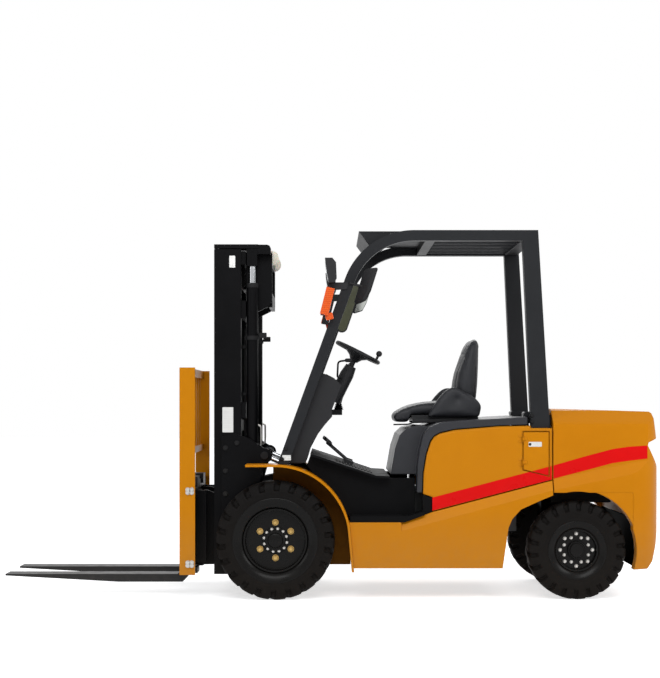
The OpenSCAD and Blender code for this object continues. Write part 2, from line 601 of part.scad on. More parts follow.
// Carriage, load backrest and forks
shank_back_x = fork_face_x - fork_t;
bar_x = [shank_back_x - 46, shank_back_x - seat_gap];
bar_top_z = [590, 690];
bar_low_z = [160, 260];
plate_y = [inner_y[0] - 30, inner_y[0] - 10];
carriage_half = 553;
roller_x = (inner_x[0] + inner_x[1]) / 2;
roller_r = (inner_x[1] - inner_x[0]) / 2 - inner_flange - 1.5;
module carriage() color(deep_black) {
  for (z = [bar_top_z, bar_low_z]) box(bar_x, [-carriage_half, carriage_half], z);
  both() side(plate_y[0], plate_y[1]) polygon([[265, 185], [340, 175], [bar_x[0] + 1, 172], [bar_x[0] + 1, 640], [440, 636],
    [340, 600], [265, 590]]);
  both() for (z = [240, 545]) y_bar(roller_x, z, roller_r, [plate_y[1] - 1, inner_web[0] - 5]);
  box([272, 312], [-plate_y[0] - 1, plate_y[0] + 1], [chain_low - 30, chain_low]);
  both() box([430, bar_x[0] + 1], [300, 330], [200, 640]);
  both() box([bar_x[0] - 12, bar_x[0] + 1], [300, 520], [bar_low_z[1] - 10, bar_top_z[0] + 10]);
}
backrest_x = [fork_face_x - 117, fork_face_x - 24];
backrest_z = [148, 1386];
module load_backrest() color(paint_yellow) {
  both() box(backrest_x, [carriage_half, carriage_half + 12], backrest_z);
  for (z = [[backrest_z[1] - 50, backrest_z[1]], [860, 900]])
    box([backrest_x[1] - 50, backrest_x[1]], [-carriage_half, carriage_half], z);
  for (i = [-3:3]) box([backrest_x[1] - 42, backrest_x[1] - 2], [i * 138 - 8, i * 138 + 8], [899, backrest_z[1] - 49]);
}
module fork() color(deep_black) {
  y = [fork_spread / 2 - fork_w / 2, fork_spread / 2 + fork_w / 2];
  top = fork_z + fork_t;
  side(y[0], y[1]) polygon([[shank_back_x, bar_top_z[1] + 32], [shank_back_x, fork_z + 30], [shank_back_x + 30, fork_z],
    [fork_face_x + 0.35 * fork_len, fork_z], [fork_tip_x, top - 10], [fork_tip_x, top], [fork_face_x + 14, top], [fork_face_x, top + 14],
    [fork_face_x, bar_top_z[1] + 32]]);
  box([bar_x[0] - 15, shank_back_x + 1], y, [bar_top_z[1] + seat_gap, bar_top_z[1] + 32]);
  box([bar_x[0] - 15, bar_x[0] - seat_gap], y, [bar_top_z[1] - 30, bar_top_z[1] + 32]);
  box([bar_x[0] - 15, shank_back_x + 1], y, [bar_low_z[0] - 30, bar_low_z[0] - seat_gap]);
  box([bar_x[0] - 15, bar_x[0] - seat_gap], y, [bar_low_z[0] - 30, bar_low_z[0] + 6]);
}

// Tilt cylinders, from the frame to the outer mast
tilt_y = [322, 350];
tilt_vec = tilt_eye - tilt_pin;
tilt_len = norm(tilt_vec);
tilt_angle = atan2(tilt_vec[1], tilt_vec[0]);
tilt_barrel_r = 26;
tilt_rod_r = 16;
tilt_barrel_len = 470;
eye_play = 4;
module along_tilt() translate([tilt_pin[0], (tilt_y[0] + tilt_y[1]) / 2, tilt_pin[1]]) rotate([0, -tilt_angle, 0]) children();
module tilt_barrel() difference() {
  along_tilt() union() {
    translate([0, -14, 0]) rotate([-90, 0, 0]) cylinder(r = 34, h = 28);
    x_bar(0, 0, tilt_barrel_r, [20, tilt_barrel_len]);
  }
  along_tilt() {
    translate([0, -15, 0]) rotate([-90, 0, 0]) cylinder(r = tilt_pin_r + run_gap, h = 30);
    x_bar(0, 0, tilt_rod_r + run_gap, [60, tilt_barrel_len + 1]);
  }
}
module tilt_rod() difference() {
  along_tilt() union() {
    x_bar(0, 0, tilt_rod_r, [tilt_len - 430, tilt_len - 25]);
    translate([tilt_len, -14, 0]) rotate([-90, 0, 0]) cylinder(r = 34, h = 28);
  }
  along_tilt() translate([tilt_len, -15, 0]) rotate([-90, 0, 0]) cylinder(r = tilt_pin_r + eye_play, h = 30);
}

// Wheels: revolved about the axle, z of the profile runs outboard
module wheel_place(x, z, y) translate([x, y, z]) rotate([-90, 0, 0]) children();
module tyre(r, w, seat) rotate_extrude($fn = 96) polygon([[seat + run_gap, -w * 0.36], [seat + 18, -w * 0.42],
  [seat + (r - seat) * 0.45, -w / 2], [r - 34, -w * 0.47], [r - 10, -w * 0.42], [r, -w * 0.36], [r, w * 0.36], [r - 10, w * 0.42],
  [r - 34, w * 0.47], [seat + (r - seat) * 0.45, w / 2], [seat + 18, w * 0.42], [seat + run_gap, w * 0.36]]);
module rim(w, seat, dish, hub_r, bore_r, hub) difference() {
  rotate_extrude($fn = 96) polygon([[0, dish], [seat - 14, dish], [seat - 14, -w * 0.4], [seat, -w * 0.4], [seat, w * 0.4], [seat - 10, w * 0.4],
    [seat - 14, dish + 14], [hub_r + 4, dish + 14], [hub_r, dish + 40], [0, dish + 40]]);
  translate([0, 0, -w]) cylinder(r = bore_r, h = w + dish + 26);
}
module front_tyre() color(deep_black) wheel_place(0, fz, front_track / 2) tyre(front_r, front_w, front_seat_r);
module rear_tyre() color(deep_black) wheel_place(ra, rz, rear_track / 2) tyre(rear_r, rear_w, rear_seat_r);
module front_rim() color(deep_black) wheel_place(0, fz, front_track / 2) rim(front_w, front_seat_r, 30, 60, 45 + run_gap, 60);
module rear_rim() color(deep_black) wheel_place(ra, rz, rear_track / 2) rim(rear_w, rear_seat_r, 24, 52, 32 + run_gap, 52);

place() frame();
place() front_fenders();
place() floor_deck();
place() side_panels();
place() counterweight();
place() rear_grille();
place() guard_frame();
place() guard_roof();
place() cowl();
place() steering_column();
place() controls();
place() drive_axle();
place() steer_axle();
place() engine();
place() headlamps();
place() turn_lamps();
place() tail_lamps();
place() mirrors();
place() hood();
place() seat_base();
place() seat_cushion();
place() seat_back();
place() access_flap();
place() steering_wheel();
place() outer_mast();
place() lift_barrels();
place() inner_mast();
place() lift_rods();
place() chain_sheaves();
place() lift_chains();
place() carriage();
place() load_backrest();
place() fork();  // fork_left
place() mirror([0, 1, 0]) fork();  // fork_right
place() color(deep_black) tilt_barrel();  // tilt_barrel_left
place() color(deep_black) mirror([0, 1, 0]) tilt_barrel();  // tilt_barrel_right
place() color(steel) tilt_rod();  // tilt_rod_left
place() color(steel) mirror([0, 1, 0]) tilt_rod();  // tilt_rod_right
place() front_tyre();  // tyre_front_left
place() mirror([0, 1, 0]) front_tyre();  // tyre_front_right
place() front_rim();  // rim_front_left
place() mirror([0, 1, 0]) front_rim();  // rim_front_right
place() rear_tyre();  // tyre_rear_left
place() mirror([0, 1, 0]) rear_tyre();  // tyre_rear_right
place() rear_rim();  // rim_rear_left
place() mirror([0, 1, 0]) rear_rim();  // rim_rear_right
place() color(deep_black) knuckle();  // knuckle_left
place() color(deep_black) mirror([0, 1, 0]) knuckle();  // knuckle_right
place() steer_rod();
place() color(deep_black) steer_link();  // steer_link_left
place() color(deep_black) mirror([0, 1, 0]) steer_link();  // steer_link_right
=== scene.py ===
# %% [markdown]
# # A counterbalance forklift truck
# The solids of this truck come from CAD and already stand where they belong.
# This lesson paints them, and adds what CAD leaves plain: tyre lugs, chain links, a stuffed seat, lamps, bolts and trim.
# Every new piece is a surface worked out with numpy, so each shape can be read as a formula.

# %% Load the frame
import math
import bmesh
import bpy
import numpy as np
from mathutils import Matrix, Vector


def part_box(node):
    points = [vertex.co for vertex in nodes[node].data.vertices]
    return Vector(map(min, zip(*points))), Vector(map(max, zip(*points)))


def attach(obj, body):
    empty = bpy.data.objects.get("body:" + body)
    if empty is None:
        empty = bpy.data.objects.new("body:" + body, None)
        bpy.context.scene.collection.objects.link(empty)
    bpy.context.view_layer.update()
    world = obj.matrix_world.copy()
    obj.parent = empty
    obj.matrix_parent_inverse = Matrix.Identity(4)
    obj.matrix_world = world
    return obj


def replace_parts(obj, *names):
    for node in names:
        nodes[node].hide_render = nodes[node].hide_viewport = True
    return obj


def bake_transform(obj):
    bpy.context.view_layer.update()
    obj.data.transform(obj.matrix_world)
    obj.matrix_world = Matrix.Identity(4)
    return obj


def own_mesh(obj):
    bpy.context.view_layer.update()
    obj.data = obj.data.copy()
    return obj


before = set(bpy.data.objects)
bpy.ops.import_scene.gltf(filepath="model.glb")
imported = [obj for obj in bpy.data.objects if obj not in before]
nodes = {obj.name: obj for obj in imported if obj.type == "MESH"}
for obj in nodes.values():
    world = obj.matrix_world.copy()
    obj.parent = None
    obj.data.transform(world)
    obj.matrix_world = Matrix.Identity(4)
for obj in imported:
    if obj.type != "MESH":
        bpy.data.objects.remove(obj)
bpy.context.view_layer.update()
axle_x = float(np.mean([corner[0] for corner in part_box("tyre_front_left")]))

# %% [markdown]
# ## Where things are
# The truck was drawn in millimetres, with x measured forward from the front axle.
# One function turns such points into the metres of the shared frame, and another mirrors a shape to the right-hand side.

# %% Places
def at(points):
    """Millimetres from the front axle's floor point, turned into metres of the frame: add the axle's x, divide by 1000."""
    return np.asarray(points, float) / 1000 + (axle_x, 0, 0)


REAR = -1800.0
FRONT_Z, REAR_Z = 355.0, 295.0
PANEL_HALF = 550.0
MAST_HALF, BRACKET_OUT = 352.0, 372.2
GUARD_OUT, GUARD_TOP = 525.0, 2210.0
HANDS = (("left", 1), ("right", -1))

# %% [markdown]
# ## Camera, floor and light
# The photograph was taken almost square to the left side, from about ten metres away.
# The horizon lies below the middle of the picture, so the lens is shifted up instead of being tilted, which keeps uprights upright.
# The floor is pale and keeps the shadow, and the world shows plain white to the camera, to metal and to glass.

# %% One function that adds a node
def add(tree, kind, links=(), **settings):
    """Adds one shader node. A setting is an attribute of the node or an input's value, and links maps an input to an output socket."""
    made = tree.nodes.new("ShaderNode" + kind)
    for name, value in settings.items():
        if hasattr(made, name):
            setattr(made, name, value)
        else:
            made.inputs[name.replace("_", " ")].default_value = value
    for name, socket in dict(links).items():
        tree.links.new(socket, made.inputs[name])
    return made


def linear(code):
    """An sRGB hex colour as linear light: c / 12.92 below 0.04045, and ((c + 0.055) / 1.055) to the power 2.4 above it."""
    c = np.array([int(code[i:i + 2], 16) for i in (1, 3, 5)]) / 255
    return (*np.where(c <= 0.04045, c / 12.92, ((c + 0.055) / 1.055) ** 2.4).tolist(), 1.0)


# %% Camera
scene = bpy.context.scene
scene.view_settings.view_transform = "Standard"
camera = bpy.data.objects.new("camera", bpy.data.cameras.new("camera"))
scene.collection.objects.link(camera)
scene.camera = camera
PICTURE_WIDE, STAND_OFF = 3.927, 9.27
camera.location = (-0.0065, STAND_OFF + 0.585, 1.186)
camera.rotation_euler = (math.pi / 2, 0, math.pi)
camera.data.sensor_fit = "HORIZONTAL"
camera.data.angle = 2 * math.atan(PICTURE_WIDE / 2 / STAND_OFF)
camera.data.shift_y = 62 / 660
camera.data.clip_end = 200
print("camera", tuple(camera.location), "lens", round(camera.data.lens, 1))

# %% Floor and world
def shown_white(tree):
    """1 for rays from the camera, off gloss or through glass, and 0 for the rays that carry light."""
    path = add(tree, "LightPath")
    camera_ray, gloss, glass = (path.outputs[f"Is {kind} Ray"] for kind in ("Camera", "Glossy", "Transmission"))
    some = add(tree, "Math", [(0, camera_ray), (1, gloss)], operation="MAXIMUM")
    return add(tree, "Math", [(0, some.outputs[0]), (1, glass)], operation="MAXIMUM").outputs[0]


world = bpy.data.worlds.new("studio")
scene.world = world
world.use_nodes = True
sky = world.node_tree
sky.nodes.clear()
lit = add(sky, "Background", Color=(0.93, 0.95, 1.0, 1), Strength=0.42)
white = add(sky, "Background", Color=(1, 1, 1, 1), Strength=1.0)
mixed = add(sky, "MixShader", [(0, shown_white(sky)), (1, lit.outputs[0]), (2, white.outputs[0])])
add(sky, "OutputWorld", [("Surface", mixed.outputs[0])])

floor_mesh = bpy.data.meshes.new("floor")
floor_mesh.from_pydata([(-40, -40, 0), (40, -40, 0), (40, 40, 0), (-40, 40, 0)], [], [(0, 1, 2, 3)])
floor = bpy.data.objects.new("floor", floor_mesh)
scene.collection.objects.link(floor)
pale = bpy.data.materials.new("pale studio floor")
pale.use_nodes = True
ground = pale.node_tree
ground.nodes.clear()
paint = add(ground, "BsdfPrincipled", Base_Color=linear("#F4F4F4"), Roughness=0.9)
glow = add(ground, "Emission", Color=(1, 1, 1, 1), Strength=0.66)
both_ways = add(ground, "AddShader", [(0, paint.outputs[0]), (1, glow.outputs[0])])
seen = add(ground, "MixShader", [(0, shown_white(ground)), (1, paint.outputs[0]), (2, both_ways.outputs[0])])
add(ground, "OutputMaterial", [("Surface", seen.outputs[0])])
floor_mesh.materials.append(pale)

# %% Soft boxes
def soft_box(name, place, aim, size, watts):
    """A rectangular lamp that faces a point: its local -Z axis is turned along the line from place to aim."""
    lamp = bpy.data.lights.new(name, "AREA")
    lamp.shape, lamp.size, lamp.size_y, lamp.energy = "RECTANGLE", size[0], size[1], watts
    holder = bpy.data.objects.new(name, lamp)
    holder.location = place
    holder.rotation_euler = Vector(np.subtract(aim, place)).to_track_quat("-Z", "Y").to_euler()
    scene.collection.objects.link(holder)


soft_box("over_camera", (0.2, 6.5, 5.5), (-0.3, 0, 1.0), (5, 3), 260)
soft_box("from_rear", (-5.5, 3.0, 4.0), (-0.8, 0, 0.9), (3, 3), 130)
soft_box("from_front", (6.0, 2.5, 3.5), (0.4, 0, 1.0), (3, 3), 60)
soft_box("far_side", (0, -7.0, 5.0), (0, 0, 1.0), (6, 3), 200)
print("4 soft boxes and a pale floor")

# %% [markdown]
# ## Paint, metal, plastic and rubber
# A finish starts from how the real surface was made.
# Sprayed enamel has orange peel, a casting is coarser under its paint, and moulded plastic has a fine grain.
# Every pattern reads Object coordinates in metres, so its scale is one over a real size.
# The edges of pressed and welded steel are a few millimetres round, and a Bevel node shows that without changing the solids.

# %% A blank finish
def finish(name, **settings):
    """A material with one Principled shader: gives back the material, its tree, its Object coordinates and the shader."""
    made = bpy.data.materials.new(name)
    made.use_nodes = True
    tree = made.node_tree
    tree.nodes.clear()
    shader = add(tree, "BsdfPrincipled", **settings)
    add(tree, "OutputMaterial", [("Surface", shader.outputs[0])])
    return made, tree, add(tree, "TexCoord").outputs["Object"], shader


def grained(tree, where, shader, grain_mm, height_mm, edge_mm=0.0, strength=0.5, detail=3.0):
    """Bump from noise with features grain_mm across and height_mm high, over edges rounded to edge_mm."""
    noise = add(tree, "TexNoise", [("Vector", where)], Scale=1000 / grain_mm, Detail=detail, Roughness=0.55)
    bump = add(tree, "Bump", [("Height", noise.outputs["Fac"])], Strength=strength, Distance=height_mm / 1000)
    if edge_mm:
        tree.links.new(add(tree, "Bevel", samples=4, Radius=edge_mm / 1000).outputs[0], bump.inputs["Normal"])
    tree.links.new(bump.outputs[0], shader.inputs["Normal"])


def clouded(tree, where, shader, colours, patch_mm, rough, dust=None, dust_top=0.9):
    """Colour drifts between two tones over patches of patch_mm, roughness with it, and dust thins out from the floor up to dust_top metres."""
    patches = add(tree, "TexNoise", [("Vector", where)], Scale=1000 / patch_mm, Detail=4.0, Roughness=0.6)
    tone = add(tree, "Mix", [("Factor", patches.outputs["Fac"])], data_type="RGBA")
    tone.inputs[6].default_value, tone.inputs[7].default_value = linear(colours[0]), linear(colours[1])
    colour = tone.outputs[2]
    if dust:
        height = add(tree, "SeparateXYZ", [("Vector", where)]).outputs["Z"]
        low = add(tree, "MapRange", [("Value", height)], From_Min=0.0, From_Max=dust_top, To_Min=0.42, To_Max=0.0)
        specks = add(tree, "TexNoise", [("Vector", where)], Scale=1000 / 35, Detail=6.0, Roughness=0.7)
        share = add(tree, "Math", [(0, low.outputs[0]), (1, specks.outputs["Fac"])], operation="MULTIPLY")
        dusty = add(tree, "Mix", [("Factor", share.outputs[0]), (6, colour)], data_type="RGBA")
        dusty.inputs[7].default_value = linear(dust)
        colour = dusty.outputs[2]
    tree.links.new(colour, shader.inputs["Base Color"])
    gloss = add(tree, "MapRange", [("Value", patches.outputs["Fac"])], From_Min=0.3, From_Max=0.7, To_Min=rough[0], To_Max=rough[1])
    tree.links.new(gloss.outputs[0], shader.inputs["Roughness"])


ARCH_RADIUS, ARCH_LIP = 0.384, 0.501


def painted_arch_shadow(tree, where, shader):
    """Painted shade inside the rear wheel arches: a mask that is 1 where a point lies nearer to the rear axle line than
    the arch's radius and inside its lip. It darkens the colour there to near black as shade and takes the shine away."""
    moved = add(tree, "VectorMath", [(0, where)], operation="SUBTRACT")
    moved.inputs[1].default_value = (axle_x + REAR / 1000, 0, REAR_Z / 1000)
    place = add(tree, "SeparateXYZ", [("Vector", moved.outputs[0])])
    flat = add(tree, "CombineXYZ", [("X", place.outputs["X"]), ("Y", place.outputs["Z"])])
    far = add(tree, "VectorMath", [(0, flat.outputs[0])], operation="LENGTH").outputs["Value"]
    depth = add(tree, "Math", [(0, place.outputs["Y"])], operation="ABSOLUTE").outputs[0]
    near, inner = (add(tree, "Math", [(0, value)], operation="LESS_THAN") for value in (far, depth))
    near.inputs[1].default_value, inner.inputs[1].default_value = ARCH_RADIUS, ARCH_LIP
    mask = add(tree, "Math", [(0, near.outputs[0]), (1, inner.outputs[0])], operation="MULTIPLY")
    colour = shader.inputs["Base Color"].links[0].from_socket
    coat = add(tree, "Mix", [("Factor", mask.outputs[0]), (6, colour)], data_type="RGBA")
    # Near black, as painted shade inside the arch.
    coat.inputs[7].default_value = linear("#050403")
    tree.links.new(coat.outputs[2], shader.inputs["Base Color"])
    level = shader.inputs["Specular IOR Level"].default_value
    shine = add(tree, "MapRange", [("Value", mask.outputs[0])], To_Min=level, To_Max=0.0)
    tree.links.new(shine.outputs["Result"], shader.inputs["Specular IOR Level"])


# %% One coat
def coat(name, tones, patch_mm, rough, grain=(), dust=None, dust_top=0.9, shade_arches=False, **settings):
    """A finish with clouded colour. grain is (size, height, edge, strength, detail) of its bump, and the arch flag adds
    painted shade inside the rear wheel arches.
    """
    made, tree, where, shader = finish(name, **settings)
    clouded(tree, where, shader, tones, patch_mm, rough, dust, dust_top)
    if shade_arches:
        painted_arch_shadow(tree, where, shader)
    if grain:
        grained(tree, where, shader, *grain)
    return made


# %% Sprayed and cast paint
# Two-pack enamel sprayed on steel sheet: even colour, orange peel about 5 mm across, a clear wet gloss.
# Inside the rear wheel arches this paint is darkened to near black as painted shade.
yellow_enamel = coat("yellow enamel on steel sheet", ("#C07600", "#C98002"), 260, (0.30, 0.40), (5, 0.10, 5, 0.35),
                     dust="#8E7C5C", dust_top=0.55, shade_arches=True, IOR=1.5, Specular_IOR_Level=0.1, Coat_Weight=0.03, Coat_Roughness=0.1)

# Pressed engine panels: the same enamel, over edges rolled to a wide radius that catches the light.
yellow_pressing = coat("yellow enamel on pressed panel", ("#C07600", "#C98002"), 260, (0.28, 0.38), (5, 0.10, 24, 0.3),
                       IOR=1.5, Specular_IOR_Level=0.11, Coat_Weight=0.05, Coat_Roughness=0.1)

# The inner wheelhouses: the enamel darkened to brown as painted shade, without shine.
shaded_enamel = coat("yellow enamel darkened as painted shade", ("#4A2D0A", "#63400F"), 90, (0.6, 0.8), IOR=1.5, Specular_IOR_Level=0.05)

# The same enamel on sand-cast iron: the sand leaves 9 mm waves and pits under the paint.
# Inside the rear wheel arches this paint is darkened to near black as painted shade.
yellow_casting = coat("yellow enamel on cast iron", ("#BE7400", "#C97E02"), 320, (0.34, 0.46), (9, 0.35, 9, 0.4),
                      dust="#8E7C5C", dust_top=0.55, shade_arches=True, IOR=1.5, Specular_IOR_Level=0.1, Coat_Weight=0.02, Coat_Roughness=0.15)

# Powder coat on tube: charcoal, fine 2 mm texture, satin.
charcoal_powder = coat("charcoal powder coat on tube", ("#202123", "#28292B"), 200, (0.42, 0.52), (2.5, 0.08, 5, 0.4),
                       IOR=1.5, Specular_IOR_Level=0.1)

# Black enamel on rolled channel: deeper and glossier, with dusty streaks low down.
black_enamel = coat("black enamel on rolled channel", ("#070708", "#0D0D0F"), 180, (0.32, 0.46), (4, 0.10, 3, 0.4),
                    dust="#4A453D", dust_top=0.5, IOR=1.5, Specular_IOR_Level=0.06)

# Black paint on forged blades: rubbed to grey along the top, where pallets slide.
fork_paint = coat("black paint on forged steel", ("#151517", "#2A2A2C"), 60, (0.36, 0.55), (3, 0.12, 3, 0.5),
                  dust="#56524B", dust_top=0.5, IOR=1.5, Specular_IOR_Level=0.15)

# Chassis black over castings that nobody polishes: rough, dusty, 6 mm grain.
chassis_black = coat("chassis black on cast iron", ("#121213", "#1E1E1F"), 90, (0.5, 0.7), (6, 0.4, 3),
                     dust="#6A6152", dust_top=0.8, IOR=1.5, Specular_IOR_Level=0.15)

# Wheel enamel: semi-gloss black on pressed steel, with a little dust in the dish.
wheel_enamel = coat("black enamel on pressed wheel", ("#050505", "#0B0A09"), 70, (0.24, 0.34), (4, 0.10, 3, 0.4),
                    dust="#1A1612", dust_top=0.7, IOR=1.5, Specular_IOR_Level=0.12)

# Bare engine castings: grey iron with oil mist.
grey_iron = coat("grey cast iron", ("#3B3D3F", "#55585A"), 70, (0.45, 0.7), (5, 0.5, 4), IOR=1.5, Metallic=0.3)
print("10 paints")

# %% Moulded plastic, rubber and vinyl
# ABS mouldings with a spark-eroded grain of about 1 mm, drawn at 2 mm so that it shows.
moulded_abs = coat("black moulded ABS", ("#1B1B1D", "#242426"), 120, (0.46, 0.58), (2, 0.12, 4, 0.5), IOR=1.53, Specular_IOR_Level=0.2)

# The hood is a glossier moulding with a softer, 4 mm leather-like grain.
moulded_hood = coat("black moulded hood", ("#1F2024", "#292A2F"), 160, (0.34, 0.46), (4, 0.15, 10, 0.45), IOR=1.5, Specular_IOR_Level=0.3)

# Natural rubber with carbon black: near black, dull, greyed by dust between the lugs.
tyre_rubber = coat("tyre rubber", ("#080707", "#100E0D"), 45, (0.55, 0.75), (3, 0.3, 0.0, 0.6, 5.0),
                   dust="#2A241D", dust_top=0.7, IOR=1.52, Specular_IOR_Level=0.08)

# Floor mat: nitrile rubber, dull, scuffed grey by boots in streaks.
floor_rubber = coat("floor rubber", ("#070708", "#111112"), 75, (0.5, 0.72), (5, 0.4, 4, 0.5), IOR=1.52, Specular_IOR_Level=0.05)

# Seat vinyl: PVC on knit backing, embossed with 3 mm leather cells and fine creases.
seat_vinyl, t, where, shader = finish("black embossed vinyl", IOR=1.5, Specular_IOR_Level=0.25)
clouded(t, where, shader, ("#202124", "#2B2C30"), 110, (0.40, 0.52))
cells = add(t, "TexVoronoi", [("Vector", where)], feature="DISTANCE_TO_EDGE", Scale=1000 / 3.2)
edges = add(t, "MapRange", [("Value", cells.outputs["Distance"])], From_Min=0.0, From_Max=0.12)
creases = add(t, "TexNoise", [("Vector", where)], Scale=1000 / 28, Detail=5.0)
leather = add(t, "Math", [(0, edges.outputs[0]), (1, creases.outputs["Fac"])], operation="ADD")
bump = add(t, "Bump", [("Height", leather.outputs[0])], Strength=0.35, Distance=0.0006)
t.links.new(bump.outputs[0], shader.inputs["Normal"])

# Nylon wear pads and sleeves: cream, waxy.
cream_nylon = coat("cream nylon", ("#CFC9B8", "#DDD8CA"), 30, (0.4, 0.5), (2, 0.05), IOR=1.53, Subsurface_Weight=0.15)
print("6 plastics and rubbers")

# %% Bare and plated metal
# Hard chrome, ground round the rod: mirror-like with faint rings 1 mm apart.
hard_chrome, t, where, shader = finish("hard chrome on ground rod", Metallic=1.0, Base_Color=linear("#B4B6B9"))
around = add(t, "Mapping", [("Vector", where)], Scale=(30, 30, 900))
rings = add(t, "TexNoise", [("Vector", around.outputs[0])], Scale=1.0, Detail=2.0)
gloss = add(t, "MapRange", [("Value", rings.outputs["Fac"])], To_Min=0.06, To_Max=0.2)
t.links.new(gloss.outputs[0], shader.inputs["Roughness"])

# Zinc-plated bolts: pale grey metal, cloudy.
zinc_plate = coat("zinc-plated steel", ("#A5A39F", "#C6C3BE"), 8, (0.28, 0.45), (1.5, 0.03), Metallic=1.0)

# Wheel nuts with a yellow chromate: brass-like.
yellow_chromate = coat("yellow-passivated steel", ("#A5854B", "#C2A56B"), 9, (0.28, 0.45), (1.5, 0.03), Metallic=1.0)

# Leaf chain: rolled plates, blued by heat treatment and dark with grease.
greased_chain = coat("greased chain steel", ("#2B2A28", "#4B4844"), 14, (0.3, 0.5), (2, 0.05), Metallic=0.85)

# Turned steel pulleys: tool marks and a film of grease.
turned_steel = coat("turned steel", ("#6D6D6E", "#8C8C8D"), 12, (0.28, 0.42), (1.5, 0.04), Metallic=1.0)
print("5 metals")

# %% Lenses, mirror glass and film
# Acrylic lenses: moulded with ribs 6 mm apart inside, so the colour is banded.
def lens(name, codes, clear):
    """A glossy lens whose colour is banded every 6 mm up its height: sine bands between two tones, part clear."""
    made, tree, where, shader = finish(name, IOR=1.49, Roughness=0.12, Transmission_Weight=clear, Specular_IOR_Level=0.3,
                                       Coat_Weight=0.15, Coat_Roughness=0.05)
    # A wave texture repeats every 2 pi / 20 units at scale 1.
    bands = add(tree, "TexWave", [("Vector", where)], bands_direction="Z", Scale=1000 / 6 / 20 * 3.1416, Distortion=0.0)
    tone = add(tree, "Mix", [("Factor", bands.outputs["Fac"])], data_type="RGBA")
    tone.inputs[6].default_value, tone.inputs[7].default_value = linear(codes[0]), linear(codes[1])
    tree.links.new(tone.outputs[2], shader.inputs["Base Color"])
    return made


orange_lens = lens("orange acrylic lens", ("#DB4A03", "#EE6208"), 0.08)
red_lens = lens("red acrylic lens", ("#A80E0C", "#D01A15"), 0.12)
clear_lens = lens("clear acrylic lens", ("#DFE5E8", "#F4F7F8"), 0.55)

# Mirror: silvered glass, slightly grey-green, with dust specks.
mirror_glass = coat("silvered mirror glass", ("#B9BDB8", "#CBCEC9"), 40, (0.08, 0.16), Metallic=1.0)

# The tall mirror inside shows the dark cab, so its glass is painted dark olive: a painted reflection of the cab.
cab_reflection_glass = coat("mirror glass painted with the cab's reflection", ("#46482F", "#54573C"), 60, (0.10, 0.18), IOR=1.5, Specular_IOR_Level=0.3)

# Stripe: red vinyl film, smooth and evenly coloured, with a faint ripple where it was squeegeed down.
red_film = coat("red vinyl film", ("#D00406", "#DC0808"), 150, (0.26, 0.34), (30, 0.10, 0.0, 0.3), IOR=1.5, Specular_IOR_Level=0.12)

# Blank rating plate: brushed aluminium, scratched along its length.
brushed_plate, t, where, shader = finish("brushed aluminium plate", Metallic=1.0)
along = add(t, "Mapping", [("Vector", where)], Scale=(12, 60, 700))
lines = add(t, "TexNoise", [("Vector", along.outputs[0])], Scale=1.0, Detail=3.0)
tone = add(t, "Mix", [("Factor", lines.outputs["Fac"])], data_type="RGBA")
tone.inputs[6].default_value, tone.inputs[7].default_value = linear("#B4B4B2"), linear("#DADAD8")
t.links.new(tone.outputs[2], shader.inputs["Base Color"])
gloss = add(t, "MapRange", [("Value", lines.outputs["Fac"])], To_Min=0.3, To_Max=0.5)
t.links.new(gloss.outputs[0], shader.inputs["Roughness"])
print("7 lenses, glass and film")

# %% [markdown]
# ## Painting the CAD solids
# A CAD node whose shape is right keeps it and only takes a finish.
# The list below goes through the truck from the forks to the counterweight.

# %% Finishes on the nodes
painted = {
    yellow_enamel: "frame front_fenders access_flap load_backrest",
    yellow_pressing: "side_panels",
    yellow_casting: "counterweight",
    charcoal_powder: "guard_frame guard_roof",
    black_enamel: "outer_mast inner_mast lift_barrels carriage tilt_barrel_left tilt_barrel_right",
    fork_paint: "fork_left fork_right",
    floor_rubber: "floor_deck",
    wheel_enamel: "rim_front_left rim_front_right rim_rear_left rim_rear_right rear_grille",
    chassis_black: "drive_axle steer_axle knuckle_left knuckle_right steer_link_left steer_link_right",
    moulded_abs: "cowl steering_column controls headlamps mirrors seat_base steering_wheel",
    moulded_hood: "hood",
    seat_vinyl: "seat_cushion seat_back",
    tyre_rubber: "tyre_front_left tyre_front_right tyre_rear_left tyre_rear_right",
    hard_chrome: "lift_rods tilt_rod_left tilt_rod_right steer_rod",
    turned_steel: "chain_sheaves",
    greased_chain: "lift_chains",
    orange_lens: "turn_lamps",
    red_lens: "tail_lamps",
    grey_iron: "engine",
}
for material, names in painted.items():
    for name in names.split():
        slots = nodes[name].material_slots
        for one in slots:
            one.material = material
        if not slots:
            nodes[name].data.materials.append(material)
print(sum(len(names.split()) for names in painted.values()), "nodes painted of", len(nodes))

# %% [markdown]
# ## Surfaces from arrays
# A shape is a grid of points worked out in one go: a section carried along a path, or a section turned about an axis.
# Rows that shrink to a point close the ends, and merging the doubled points then leaves one closed skin.

# %% Grids, sweeps and turned shapes
def skin(grid, wrap_u=False, wrap_v=False):
    """Points (i, j) of a grid as rows of a list, and the quads between neighbours. A wrapped side joins its last row to its first."""
    nu, nv = grid.shape[:2]
    i = np.arange(nu if wrap_u else nu - 1)[:, None]
    j = np.arange(nv if wrap_v else nv - 1)[None, :]
    i2, j2 = (i + 1) % nu, (j + 1) % nv
    quads = np.stack(np.broadcast_arrays(i * nv + j, i2 * nv + j, i2 * nv + j2, i * nv + j2), -1)
    return grid.reshape(-1, 3), quads.reshape(-1, 4)


def capped(rings):
    """Rings of points joined in order into one skin, with both ends drawn to their middle: a ring must see all of its edge from there."""
    ends = [np.broadcast_to(ring.mean(0), ring.shape)[None] for ring in (rings[0], rings[-1])]
    return skin(np.concatenate([ends[0], rings, ends[1]]), wrap_v=True)


def running(points):
    """The length along a line of points, up to each of them."""
    return np.concatenate([[0], np.cumsum(np.linalg.norm(np.diff(points, axis=0), axis=1))])


